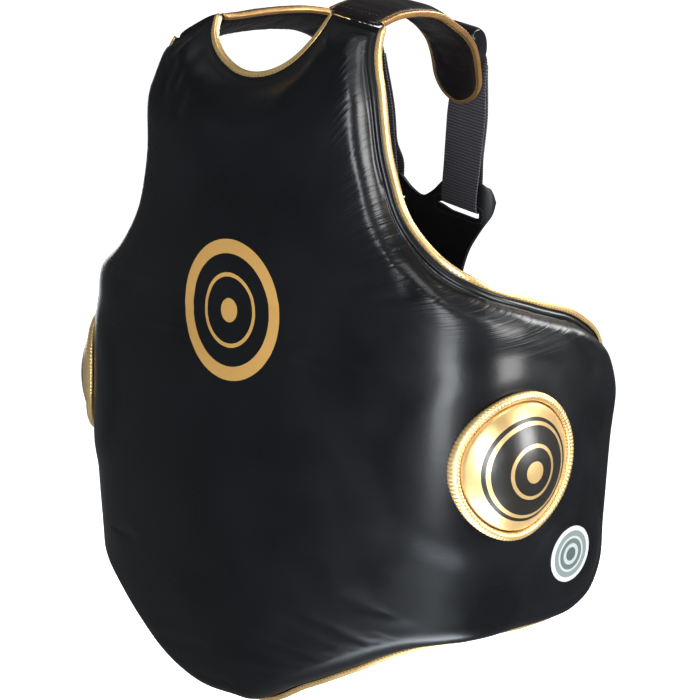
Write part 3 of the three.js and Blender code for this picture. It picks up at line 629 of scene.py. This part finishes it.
strap_run = {side: run_along(rows[:, :2]) for side, rows in STRAP_LINE.items()}
strap_length = {side: run[-1] for side, run in strap_run.items()}


def strap_frame(side, s):
    """Directions across a strap, towards the arm, and up from it at a distance along it."""
    line = curve_through(strap_run[side], STRAP_LINE[side])
    step = line(s + 0.5) - line(s - 0.5)
    along = unit(np.stack([SIGN[side] * step[..., 2], step[..., 0], step[..., 1]], axis=-1))
    over = np.stack([SIGN[side] + 0 * s, 0 * s, -line(s)[..., 3]], axis=-1)
    over = unit(over - along * (over * along).sum(axis=-1, keepdims=True))
    return over, np.cross(over, along) * SIGN[side]


def strap_place(side, s, across, rise):
    """Point of a strap by distance along in side view, across and above it; its first sections lean so
    that they meet the shoulder seam."""
    s, across, rise = np.broadcast_arrays(np.asarray(s, float), across, rise)
    over, up = strap_frame(side, s)
    across = across * (1 - STRAP_NARROWS * smooth_step(s / strap_length[side], 0.45, 0.85))
    lead = np.maximum(0, 1 - s / 45) * (-0.08 * across - 0.8 * rise)
    line = curve_through(strap_run[side], STRAP_LINE[side])(s + lead)
    middle = np.stack([SIGN[side] * line[..., 2], line[..., 0], line[..., 1]], axis=-1)
    return middle + over * across[..., None] + up * rise[..., None]


# The straps' leather is worn by the neck: browner and more creased than the pad's.
def creases(tree, place, polish):
    """Bump of creases across the strap, 9 mm apart and uneven."""
    flat = put(tree, "ShaderNodeMapping", {"Vector": place, "Scale": (1000 / 30, 1000 / 9, 1000 / 12)})
    crease = put(tree, "ShaderNodeTexNoise", {
        "Vector": flat.outputs[0], "Scale": 1.0, "Detail": 3.0, "Distortion": 0.8,
    })
    return put(tree, "ShaderNodeBump", {
        "Height": crease.outputs[0], "Strength": 0.45, "Distance": 0.0025,
    }).outputs[0]


def blunt(wave, power):
    """A wave brought to a power under 1, its sign kept, so that a ring drawn with it turns squarer."""
    return np.sign(wave) * np.abs(wave) ** power


strap_hide = hide(
    "strap_cowhide", dark="#0b0a0b", light="#171213", gloss=(0.3, 0.44), first_bump=creases, mirror=0.2,
)[0]
for side in ("left", "right"):
    half, long = STRAP_WIDTH / 2 - 0.3, strap_length[side]
    straight = long - half
    end = np.radians(np.linspace(0, 88, 17)[1:])
    s = np.concatenate([np.linspace(STRAP_START[side], straight, 56), straight + half * np.sin(end)])
    wide = np.concatenate([np.full(56, half), half * np.cos(end)])
    fill = STRAP_THIN + (1 - STRAP_THIN) * np.clip(np.minimum(s, long - s) / STRAP_TAPER, 0, 1)
    turn = np.linspace(0, 2 * np.pi, 40, endpoint=False)
    oval = blunt(np.cos(turn), 0.6), blunt(np.sin(turn), 0.6)
    points = strap_place(
        side, s[:, None], wide[:, None] * oval[0], (STRAP_THICK / 2 * fill)[:, None] * oval[1],
    )
    closed, faces = capped_tube(points)
    hold = np.broadcast_to(smooth_step(np.abs(oval[0]), 0.5, 0.95), closed.shape[:2]).copy()
    hold[:6], hold[-14:] = 1, 1
    strap = piece(f"strap_{side}", closed, faces, strap_hide, marks={"hold": np.round(hold, 1)})
    blow_out(strap, pressure=3.0, slack=0.01, most=1.2 * MM)
    belongs(strap, f"shoulder_strap_{side}")
    across = np.linspace(-22, 22, 23)
    path = strap_place(side, STRAP_START[side] + 7 + 0 * across, across, STRAP_THICK / 2 * 0.86)
    outer = strap_place(side, STRAP_START[side] + 7 + 0 * across, across, STRAP_THICK / 2 + 1)
    stitches(f"seam_stitches_{side}", path, outer - path, thread_black, "black_leather", thick=0.5)

# Strap tapes: the same gold leather round each strap's edge, up one side, round the end and back,
# sewn with two rows. Its foil is rubbed darker than that of the pad's tape.
strap_gold = gold("gold_foil_strap_tape", colour="#ab8550", shade="#836136")[0]
for side in ("left", "right"):
    half = STRAP_WIDTH / 2
    straight = strap_length[side] - half
    rail = np.linspace(STRAP_START[side] + TAPE_START, straight, 50)
    turn = np.linspace(-np.pi / 2, np.pi / 2, 33)[1:-1]
    s = np.concatenate([rail, straight + half * np.cos(turn), rail[::-1]])
    a = np.concatenate([np.full(50, -half), half * np.sin(turn), np.full(50, half)])
    out_s = np.concatenate([np.zeros(50), np.cos(turn), np.zeros(50)])
    out_a = np.concatenate([np.full(50, -1.0), np.sin(turn), np.ones(50)])

    def on_tape(reach, across):
        """Places on the strap's tape by reach past its edge and place across it."""
        far = TAPE_GAP + TAPE_PROUD * reach
        return strap_place(
            side, s[:, None] + out_s[:, None] * far, a[:, None] + out_a[:, None] * far,
            across * (STRAP_RIM / 2 + TAPE_LAP) + 0 * s[:, None],
        )

    belongs(
        piece(f"strap_tape_{side}", *capped_tube(on_tape(*tape_section())), strap_gold),
        f"strap_binding_{side}",
    )
    for row, across in (("upper", 1.14), ("lower", -1.14)):
        path = on_tape(np.array([-0.4]), np.array([across]))[1:-1, 0]
        outer = on_tape(np.array([-0.4]), np.array([across * 1.15]))[1:-1, 0]
        stitches(
            f"strap_stitches_{row}_{side}", path, outer - path, thread_gold, "gold_leather",
            pitch=3.6, thick=0.4,
        )

# Strap folds: a piece of the same black leather folded into a loop on the back of each strap, sewn
# down along its foot, that holds the end of the webbing. The bend is tight and very glossy.
FOLD_WIDTH, FOLD_HEIGHT, FOLD_TOP, FOLD_FOOT, FOLD_LIFT, FOLD_ENDS = 46.0, 20.0, 74.0, 31.0, 0.9, 0.8
# Share of the way from top to foot, and of the rise, round the section
FOLD = np.array([
    (0.0, 0.0), (0.03, 0.2), (0.12, 0.5), (0.3, 0.84), (0.46, 0.98), (0.58, 1.0), (0.72, 0.92), (0.86, 0.7),
    (0.95, 0.42), (1.0, 0.12), (1.0, 0.0), (0.8, 0.0), (0.6, 0.0), (0.4, 0.0), (0.2, 0.0),
])
fold_hide = hide("folded_cowhide", gloss=(0.1, 0.2), first_bump=creases)[0]
for side in ("left", "right"):
    ring = np.vstack([FOLD[-3:], FOLD, FOLD[:4]])
    run = run_along(ring)
    section = curve_through(run, ring)(np.linspace(run[3], run[-4], 49)[:-1])
    across = np.concatenate([[-1, -0.985, -0.95], np.linspace(-0.88, 0.88, 15), [0.95, 0.985, 1]])
    swell = FOLD_ENDS + (1 - FOLD_ENDS) * (1 - np.abs(across) ** 8) ** 0.5
    points = strap_place(
        side, strap_length[side] - (FOLD_TOP + (FOLD_FOOT - FOLD_TOP) * section[None, :, 0]),
        across[:, None] * FOLD_WIDTH / 2,
        STRAP_THICK / 2 + FOLD_LIFT + np.maximum(section[None, :, 1], 0) * FOLD_HEIGHT * swell[:, None],
    )
    belongs(piece(f"fold_{side}", *capped_tube(points), fold_hide), f"strap_loop_{side}")
    across = np.linspace(-0.94, 0.94, 24) * FOLD_WIDTH / 2
    for row, (share, lift) in enumerate(((0.90, 0.62), (0.965, 0.36))):
        foot = strap_length[side] - (FOLD_TOP + (FOLD_FOOT - FOLD_TOP) * share)
        rise = STRAP_THICK / 2 + FOLD_LIFT + lift * FOLD_HEIGHT
        path = strap_place(side, foot + 0 * across, across, rise)
        outer = strap_place(side, foot + 1 + 0 * across, across, rise + 1)
        stitches(f"fold_stitches_{row}_{side}", path, outer - path, thread_black, "black_leather", thick=0.5)

# Back yoke: one layer of stiff black leather with a U-shaped top edge, two ears with a slot each and
# a stem that runs down the back. The slots are sewn round.
YOKE_THICK, YOKE_Y, YOKE_SAG, STEM_END = 4.0, 152.0, 7.0, -450.0
EAR_TIP, EAR_CURL, CURL_FROM = 84.0, 10.0, 66.0
SLOT_X, SLOT_Z, SLOT_LENGTH, SLOT_HEIGHT, SLOT_SLOPE = 45.5, -185.0, 51.0, 8.0, -0.16
YOKE_TOP = np.array([
    (0, -177), (13, -171), (27, -159), (43, -155), (63, -156), (76, -162), (82, -168), (84, -176),
], float)
YOKE_SIDE = np.array([
    (84, -176), (82, -187), (72, -204), (60, -221), (51, -245), (47, -280), (48, -340), (54, -450),
], float)


def yoke_y(x):
    """Place of the yoke on the back: it bows towards the wearer at both sides, and the ears' tips curl
    away again."""
    curled = np.clip((x - CURL_FROM) / (EAR_TIP - CURL_FROM), 0, 1)
    return YOKE_Y - YOKE_SAG * (x / EAR_TIP) ** 2 + EAR_CURL * curled ** 2


both_tops = np.vstack([YOKE_TOP[:0:-1] * [-1, 1], YOKE_TOP])
top_edge = curve_through(both_tops[:, 0], both_tops[:, 1])
side_path = table_path(YOKE_SIDE, 400)
slot_half = SLOT_LENGTH / 2 * np.cos(np.arctan(SLOT_SLOPE))
slot_from, slot_to = SLOT_X - slot_half, SLOT_X + slot_half


def side_edge(z):
    """Half width of the yoke at a height below the ear's tip."""
    return np.interp(-z, -side_path[:, 1], side_path[:, 0])


def slot_line(x, lift):
    """Height of a slot's edge, which closes in towards the inner end of the slot and is carried on to the
    middle of the yoke below its top edge."""
    opened = 0.2 + 0.8 * smooth_step(x, slot_from, slot_from + 18)
    opened = opened - 0.35 * smooth_step(x, slot_to - 5, slot_to)
    return SLOT_Z + SLOT_SLOPE * (x - SLOT_X) + lift * opened - 14 * np.clip(1 - x / slot_from, 0, 1) ** 2


column = np.concatenate([
    np.linspace(0, slot_from, 8)[:-1],
    np.linspace(slot_from, slot_to, 19),
    np.linspace(slot_to, EAR_TIP, 8)[1:],
])
beyond = np.clip((column - slot_to) / (EAR_TIP - slot_to), 0, 1)
tip_top, tip_bottom = slot_line(82.0, SLOT_HEIGHT / 2), slot_line(80.0, -SLOT_HEIGHT / 2)


def yoke_rows(start, stop, count):
    """Rows between two lines, given as heights over the columns; past the slot the columns spread out
    to the side edge."""
    v = np.linspace(0, 1, count)[:, None]
    z = start + (stop - start) * v
    x = np.where(column > slot_to, slot_to + beyond * (side_edge(z[:, -1:]) - slot_to), column)
    return x + 0 * z, z


def ear_line(lift, tip):
    """The slot's edge across the columns, past the slot carried on to a height at the side edge."""
    end = slot_line(slot_to, lift)
    return np.where(column > slot_to, end + beyond * (tip - end), slot_line(column, lift))


upper = yoke_rows(top_edge(column), ear_line(SLOT_HEIGHT / 2, tip_top), 9)
middle = yoke_rows(ear_line(SLOT_HEIGHT / 2, tip_top), ear_line(-SLOT_HEIGHT / 2, tip_bottom), 5)
v = np.linspace(0, 1, 45)[:, None] ** 1.3
stem_z = ear_line(-SLOT_HEIGHT / 2, tip_bottom) * (1 - v) + STEM_END * v
ear_half = side_edge(tip_bottom)
share = np.where(column > slot_to, slot_to + beyond * (ear_half - slot_to), column) / ear_half
lower = share * side_edge(stem_z[:, -1:]), stem_z
yoke_x = np.vstack([upper[0][:-1], middle[0][:-1], lower[0]])
yoke_z = np.vstack([upper[1][:-1], middle[1][:-1], lower[1]])
quads = grid_faces(*yoke_x.shape).reshape(yoke_x.shape[0] - 1, yoke_x.shape[1] - 1, 4)
in_slot = np.zeros(quads.shape[:2], bool)
in_slot[8:12, 7:25] = True
quads = quads[~in_slot]
halves = [np.stack([sign * yoke_x, yoke_y(yoke_x), yoke_z], axis=-1).reshape(-1, 3) for sign in (1, -1)]
yoke_hide = hide("yoke_cowhide", gloss=(0.34, 0.48))[0]
yoke = piece(
    "yoke_panel", np.vstack(halves), np.vstack([quads, quads[:, ::-1] + yoke_x.size]), yoke_hide,
)


def thicken(made, thickness, bevel):
    """Both faces at half the thickness from the middle, with softened edges."""
    solid = made.modifiers.new("thickness", "SOLIDIFY")
    solid.thickness, solid.offset, solid.use_even_offset = thickness * MM, 0, True
    soft = made.modifiers.new("edges", "BEVEL")
    soft.width, soft.segments, soft.limit_method, soft.angle_limit = bevel * MM, 3, "ANGLE", np.radians(50)


thicken(yoke, YOKE_THICK, 1.2)
belongs(yoke, "back_yoke")
for side in ("left", "right"):
    turn = np.linspace(0, 2 * np.pi, 81)
    long, tall = slot_half + 4, SLOT_HEIGHT / 2 + 4
    x = SLOT_X + long * blunt(np.cos(turn), 0.35)
    z = SLOT_Z + SLOT_SLOPE * (x - SLOT_X) + tall * blunt(np.sin(turn), 0.35)
    for face in (-1, 1):
        path = np.stack([SIGN[side] * x, yoke_y(x) + face * (YOKE_THICK / 2 + 0.1), z], axis=-1)
        stitches(
            f"slot_stitches_{'front' if face < 0 else 'back'}_{side}", path,
            np.broadcast_to([0, face, 0], path.shape).astype(float), thread_black, "black_leather",
            pitch=3.4, thick=0.5,
        )

# Webbing: woven nylon, sewn under each fold, led down in front of the yoke, through its slot and up
# again behind itself. It is 44 mm wide and 2 mm thick with rounded selvedges.
WEB_WIDTH, WEB_THICK, WEB_ASIDE, WEB_TAIL, WEB_CLEAR = 44.0, 2.0, 2.5, 0.06, 1.6
WEB_LEAN, WEB_GATHER = {"left": 5.0, "right": -8.0}, 0.7  # off the strap's middle; share of width at the top
WEB_ALONG, WEB_RISE = 0.885, 13.0  # where it leaves the fold: share of its way to the foot, and height
# The way through the slot, from its middle: backwards and up
THROUGH = np.array([
    (-4.3, 14), (-4.2, 6), (-3.7, 4), (-2.2, 2.2), (0, 1.9), (2.2, 2.2), (3.7, 4), (4, 6), (4, 18), (4, 34),
], float)
# Woven nylon: dull charcoal with weft ribs 2.8 mm apart, crossed by a finer slanting twill.
webbing_cloth, tree, shader = start_material("woven_nylon_webbing", Roughness=0.62, Specular_IOR_Level=0.35)
weave = put(tree, "ShaderNodeUVMap", uv_map="weave").outputs[0]
ribs = put(tree, "ShaderNodeTexWave", {
    "Vector": weave, "Scale": 314 / 2.8, "Distortion": 0.4, "Detail": 1.0,
}, bands_direction="Y")
slant = put(tree, "ShaderNodeMapping", {"Vector": weave, "Rotation": (0, 0, 0.9)})
twill = put(tree, "ShaderNodeTexWave", {
    "Vector": slant.outputs[0], "Scale": 314 / 2.2, "Distortion": 0.3,
}, bands_direction="X")
both = put(tree, "ShaderNodeMix", {
    0: 0.3, 2: ribs.outputs["Fac"], 3: twill.outputs["Fac"],
}, data_type="FLOAT")
yarn = put(tree, "ShaderNodeMix", {
    0: both.outputs[0], 6: to_linear("#101012"), 7: to_linear("#46454b"),
}, data_type="RGBA")
woven = put(tree, "ShaderNodeBump", {"Height": both.outputs[0], "Strength": 0.8, "Distance": 0.0008})
tree.links.new(yarn.outputs[2], shader.inputs["Base Color"])
tree.links.new(woven.outputs[0], shader.inputs["Normal"])
for side in ("left", "right"):
    slot_x = SLOT_X + WEB_ASIDE
    slot = np.array([SIGN[side] * slot_x, yoke_y(slot_x), SLOT_Z + SLOT_SLOPE * WEB_ASIDE])
    start = np.array(strap_length[side] - (FOLD_TOP + (FOLD_FOOT - FOLD_TOP) * WEB_ALONG))
    lift = STRAP_THICK / 2 + FOLD_LIFT + WEB_RISE
    top = strap_place(side, start, WEB_LEAN[side], lift)
    sewn = strap_place(side, start - 10, WEB_LEAN[side] - 3, lift - 4)
    through = slot + np.column_stack([np.zeros(len(THROUGH)), THROUGH])
    fall = through[0] - top
    down = top + fall * np.array([0, 0.2, 0.4, 0.6, 0.8])[:, None]
    behind = np.array([0, WEB_THICK + WEB_CLEAR, 0])
    tail = top + fall * np.array([0.7, 0.55, 0.4, WEB_TAIL])[:, None] + behind
    line = np.vstack([sewn, down, through, tail])
    run = run_along(line)
    s = np.unique(np.concatenate([
        np.linspace(0, run[5], 44), np.linspace(run[5], run[-5], 40), np.linspace(run[-5], run[-1], 30),
    ]))
    way = curve_through(run, line)
    middle = way(s)
    along = unit(way(np.minimum(s + 0.3, run[-1])) - way(np.maximum(s - 0.3, 0)))
    at_slot = unit(np.array([SIGN[side], (yoke_y(slot_x + 0.5) - yoke_y(slot_x - 0.5)), SLOT_SLOPE]))
    turned = np.clip((top[2] - middle[:, 2]) / (top[2] - through[0, 2]), 0, 1)[:, None]
    over = unit(strap_frame(side, start)[0] * (1 - turned) + at_slot * turned)
    face = unit(np.cross(along, over))
    turn = np.linspace(0, 2 * np.pi, 28, endpoint=False)
    wide, thick = blunt(np.cos(turn), 0.35) * WEB_WIDTH / 2, blunt(np.sin(turn), 0.35) * WEB_THICK / 2
    gathered = WEB_GATHER + (1 - WEB_GATHER) * smooth_step(top[2] - middle[:, 2], -4, 65)
    points = (
        middle[:, None] + over[:, None] * (gathered[:, None] * wide)[..., None]
        + face[:, None] * thick[None, :, None]
    )
    closed, faces = capped_tube(points)
    flat = np.stack(np.broadcast_arrays(wide, s[:, None]), axis=-1)
    flat = np.concatenate([flat[:1], flat, flat[-1:]]) * MM
    web = piece(f"nylon_{side}", closed, faces, webbing_cloth, maps={"weave": flat})
    belongs(web, f"webbing_{side}")

# Back belt: a band of the yoke's leather across the back under the stem, round both corners and
# forward inside the wings, where it is sewn down. Its edges are sewn along.
BELT_HEIGHT, BELT_THICK, BELT_Z, BELT_Y, BELT_LAP, BELT_FROM = 90.0, 4.0, -415.0, 139.0, 40.0, 342.0
BELT_CLEAR = 0.6  # from the lining
tall = np.linspace(-0.5, 0.5, 13) * BELT_HEIGHT + BELT_Z
lap_girth = BELT_FROM - BELT_LAP * np.array([1, 0.5, 0])
lap = raised(lap_girth, tall[:, None], np.full((13, 3), -BELT_THICK / 2 - BELT_CLEAR))
heading = unit((lap[:, 2] - lap[:, 1]) * [1, 1, 0])
inner = np.stack([-heading[:, 1], heading[:, 0], 0 * tall], axis=1)
swing = np.arctan2(heading[:, 1], -heading[:, 0])
corner = (BELT_Y - lap[:, 2, 1]) / (heading[:, 1] * np.sin(swing) + inner[:, 1] * (1 - np.cos(swing)))
angle = swing[:, None] * np.linspace(0, 1, 10)[1:]
turned = (
    lap[:, 2, None] + heading[:, None] * (corner[:, None] * np.sin(angle))[..., None]
    + inner[:, None] * (corner[:, None] * (1 - np.cos(angle)))[..., None]
)
flat_x = np.array([64.0, 32.0, 0.0])
flat_part = np.stack(np.broadcast_arrays(flat_x, yoke_y(flat_x) - 4.3, tall[:, None]), axis=-1)
half_way = np.concatenate([lap, turned, flat_part], axis=1)
whole = np.concatenate([half_way, half_way[:, -2::-1] * [-1, 1, 1]], axis=1)
run = run_along(whole[6])
band = curve_through(run, whole.transpose(1, 0, 2).reshape(len(run), -1))(np.linspace(0, run[-1], 181))
band = band.reshape(181, 13, 3)
belt = piece("belt_band", band, grid_faces(181, 13), yoke_hide)
thicken(belt, BELT_THICK, 1.2)
belongs(belt, "back_belt")
way_out = unit(np.cross(np.gradient(band[:, 6], axis=0), [0, 0, 1]))
for edge, row in (("lower", 1), ("upper", 11)):
    stitches(
        f"belt_stitches_{edge}", band[:, row] + way_out * (BELT_THICK / 2 + 0.1), way_out,
        thread_black, "black_leather", pitch=5.0, thick=0.5,
    )

# Targets: round foam domes in gold leather, sewn flat on the side of the pad. The dome stands 6 mm
# at its rim and 23 mm in the middle. A black disc with plain gold rings is printed on it.
TARGET_GIRTH, TARGET_Z, TARGET_RADIUS, TARGET_RISE, TARGET_FULL = 231.0, -357.0, 54.5, 17.0, 2.4
TARGET_RIM, TARGET_LIFT, PIPING = 6.0, 0.7, 8.0
target_gold, tree, shader, tone = gold("gold_foil_target", colour="#dfc08a", shade="#c9a468", gather=6.0)
disc = put(tree, "ShaderNodeUVMap", uv_map="disc").outputs[0]
radius = put(tree, "ShaderNodeVectorMath", {0: disc}, operation="LENGTH").outputs["Value"]
inked = flat_rings(tree, radius, 60 * MM, (
    (0, BLACK), (9 * MM, WHITE), (20 * MM, BLACK), (23 * MM, WHITE), (37.5 * MM, BLACK), (40.5 * MM, WHITE),
    (43.5 * MM, BLACK),
))
painted = put(tree, "ShaderNodeMix", {
    0: inked, 6: tone.outputs[2], 7: to_linear("#15130f"),
}, data_type="RGBA")
metal = put(tree, "ShaderNodeMapRange", {"Value": inked, "To Min": 0.75, "To Max": 0.0})
tree.links.new(painted.outputs[2], shader.inputs["Base Color"])
tree.links.new(metal.outputs[0], shader.inputs["Metallic"])


def on_skin(girth, z, a, b, rise):
    """Places on the pad by their distances along and up a flat plane laid on it at one place, found by
    closing in on them in small moves, and raised square to that plane."""
    origin, out = raised(girth, z, padding(girth, z)), outward(girth, z)
    up = unit(np.array([0, 0, 1]) - out * out[2])
    along = np.cross(up, out)
    g, h = girth + 0 * a, z + 0 * b
    for _ in range(30):
        offset = raised(g, h, padding(g, h)) - origin
        g, h = g + 0.7 * (a - offset @ along), h + 0.7 * (b - offset @ up)
    return origin + offset + out * np.asarray(rise)[..., None]


spoke = np.linspace(0, 2 * np.pi, 96, endpoint=False)
for side in ("left", "right"):
    over = np.concatenate([[1.0, 1.0, 0.995], np.linspace(0.98, 0, 34)])
    rim = TARGET_RIM * (1 - np.clip(over - 0.98, 0, 1) * 20)
    rise = rim + TARGET_RISE * (1 - over ** TARGET_FULL)
    rise[:2] = (TARGET_LIFT, 2.5)
    r = np.concatenate([np.linspace(0, 0.98, 10), over]) * TARGET_RADIUS
    rise = np.concatenate([np.full(10, TARGET_LIFT), rise])
    a, b = r[:, None] * np.cos(spoke), r[:, None] * np.sin(spoke)
    points = on_skin(SIGN[side] * TARGET_GIRTH, TARGET_Z, a, b, rise[:, None] + 0 * a)
    dome = piece(
        f"target_{side}", points, grid_faces(len(r), 96, ring=True), target_gold,
        maps={"disc": np.stack([a, b], axis=-1) * MM},
    )
    belongs(dome, f"side_pad_{side}")

# Target piping: a cord wrapped in gathered gold leather and laid round each dome, 8 mm thick.
# It lies against the dome's edge and is finely ribbed across by the gathers.
RIBS, RIB_DEPTH = 112, 0.14
piping_gold = gold("gold_foil_piping", colour="#e4c892", shade="#bf9a60", gather=2.5)[0]
around = np.linspace(0, 2 * np.pi, RIBS * 6, endpoint=False)
turn = np.linspace(0, 2 * np.pi, 14, endpoint=False)
for side in ("left", "right"):
    slanted = around[:, None] * RIBS / 2 + 0.5 * np.sin(turn)
    roll = PIPING / 2 * (1 - RIB_DEPTH * (1 - np.abs(np.sin(slanted)) ** 0.7))
    far = TARGET_RADIUS + 0.3 + PIPING / 2 + roll * np.cos(turn)
    points = on_skin(
        SIGN[side] * TARGET_GIRTH, TARGET_Z, far * np.cos(around)[:, None], far * np.sin(around)[:, None],
        0.3 + PIPING / 2 + roll * np.sin(turn),
    )
    faces = grid_faces(len(around) + 1, 14, ring=True)
    belongs(
        piece(f"target_piping_{side}", np.concatenate([points, points[:1]]), faces, piping_gold),
        f"side_pad_piping_{side}",
    )

# Label: a thin round patch of white film, 50 mm across, stuck low on the left wing.
# The film is smooth with a soft shine and is printed with plain grey-green rings.
LABEL_GIRTH, LABEL_Z, LABEL_RADIUS, LABEL_LIFT, LABEL_THICK = 296.0, -450.0, 25.0, 0.3, 1.0
white_film, tree, shader = start_material("white_label_film", Roughness=0.35)
spot = put(tree, "ShaderNodeUVMap", uv_map="disc").outputs[0]
radius = put(tree, "ShaderNodeVectorMath", {0: spot}, operation="LENGTH").outputs["Value"]
ink = flat_rings(tree, radius, 30 * MM, [(start * MM, to_linear(tint)) for start, tint in (
    (0, "#3b4645"), (6, "#858c8b"), (9.5, "#48524f"), (14, "#8d9392"), (16, "#5d6766"), (21, "#9fa4a3"),
)])
tree.links.new(ink, shader.inputs["Base Color"])
r = np.array([0, 0.2, 0.4, 0.6, 0.8, 0.96, 1, 1, 0.96, 0.8, 0.6, 0.4, 0.2, 0]) * LABEL_RADIUS
rise = LABEL_LIFT + LABEL_THICK * np.array([0] * 6 + [0.15, 0.85] + [1] * 6)
a, b = r[:, None] * np.cos(spoke), r[:, None] * np.sin(spoke)
label = piece(
    "label_patch", on_skin(LABEL_GIRTH, LABEL_Z, a, b, rise[:, None] + 0 * a),
    grid_faces(len(r), 96, ring=True), white_film, maps={"disc": np.stack([a, b], axis=-1) * MM},
)
belongs(label, "round_label")

# Studio: a plain pale floor below the held-up pad, soft boxes and a dim room.
# The camera stands at the photograph's angle, 40 degrees to the wearer's left and 13 above.
def soft_box(name, az, el, away, size, power, aim=(0.0, 0.0, -0.3), spread=110, tint=(1, 1, 1)):
    """Area light at an azimuth, elevation and distance from the aim, facing it."""
    lamp = bpy.data.lights.new(name, "AREA")
    lamp.shape, lamp.size, lamp.size_y, lamp.energy = "RECTANGLE", size[0], size[1], power
    lamp.spread, lamp.color = np.radians(spread), tint
    made = bpy.data.objects.new(name, lamp)
    made.visible_camera = False
    a, e = np.radians([az, el])
    back = np.array([np.sin(a) * np.cos(e), -np.cos(a) * np.cos(e), np.sin(e)])
    side = np.array([np.cos(a), np.sin(a), 0])
    made.matrix_world = Matrix(np.vstack([
        np.column_stack([side, np.cross(back, side), back, np.array(aim) + back * away]), [0, 0, 0, 1],
    ]))
    bpy.context.scene.collection.objects.link(made)


CAMERA = {"az": 40.0, "el": 13.0, "away": 1.6, "roll": 1.0, "lens": 90.51}
LOOKS_AT = np.array([0.02344, 0.01967, -0.304])
az, el, tip = np.radians([CAMERA["az"], CAMERA["el"], CAMERA["roll"]])
back = np.array([np.sin(az) * np.cos(el), -np.cos(az) * np.cos(el), np.sin(el)])
right = np.array([np.cos(az), np.sin(az), 0])
up = np.cross(back, right)
lens = bpy.data.cameras.new("photo_camera")
lens.lens, lens.sensor_width, lens.clip_end = CAMERA["lens"], 36.0, 200.0
camera = bpy.data.objects.new("photo_camera", lens)
camera.matrix_world = Matrix(np.vstack([np.column_stack([
    right * np.cos(tip) + up * np.sin(tip), up * np.cos(tip) - right * np.sin(tip), back,
    LOOKS_AT + back * CAMERA["away"],
]), [0, 0, 0, 1]]))
bpy.context.scene.collection.objects.link(camera)
bpy.context.scene.camera = camera
soft_box("front_box", 34, 4, 2.2, (0.7, 1.3), 18, tint=(0.92, 0.96, 1.0))
# Lies on the floor in front, below the camera's view, and is mirrored low on the belly
soft_box("low_box", 42, -90, 0.45, (0.4, 0.9), 9, aim=(0.46, -0.5, -0.3), tint=(0.85, 0.92, 1.0))
soft_box("left_box", -112, 4, 2.0, (0.4, 1.0), 1.5)
soft_box("right_box", 104, 14, 2.0, (1.0, 1.1), 23)
soft_box("back_box", 158, 30, 1.8, (0.6, 0.6), 8)
soft_box("top_box", 60, 70, 2.4, (1.2, 1.2), 8)
world = bpy.data.worlds.new("studio_room")
world.use_nodes = True
world.node_tree.nodes["Background"].inputs["Color"].default_value = (0.95, 0.97, 1, 1)
world.node_tree.nodes["Background"].inputs["Strength"].default_value = 0.15
bpy.context.scene.world = world
bpy.context.scene.view_settings.view_transform = "Standard"
# The floor is a white sheet lit through from below, so it shows no horizon and hardly a shadow
floor_paint, tree, shader = start_material(
    "white_studio_floor", Roughness=0.9, Base_Color=(0.9, 0.9, 0.9, 1),
    Emission_Color=(1, 1, 1, 1), Emission_Strength=0.95,
)
FLOOR, FLOOR_Z, SWEEP, SWEEP_Z = 18000.0, -760.0, 27000.0, 6000.0  # flat, then rising as a sweep
corners = np.array([(-1, -1), (1, -1), (1, 1), (-1, 1)])
floor = piece("studio_floor", np.vstack([
    np.column_stack([corners * FLOOR, np.full(4, FLOOR_Z)]),
    np.column_stack([corners * SWEEP, np.full(4, SWEEP_Z)]),
]), np.vstack([[[0, 1, 2, 3]], grid_faces(2, 4, ring=True)]), floor_paint)
floor.visible_glossy = False  # so the leather mirrors the boxes and the dim room only
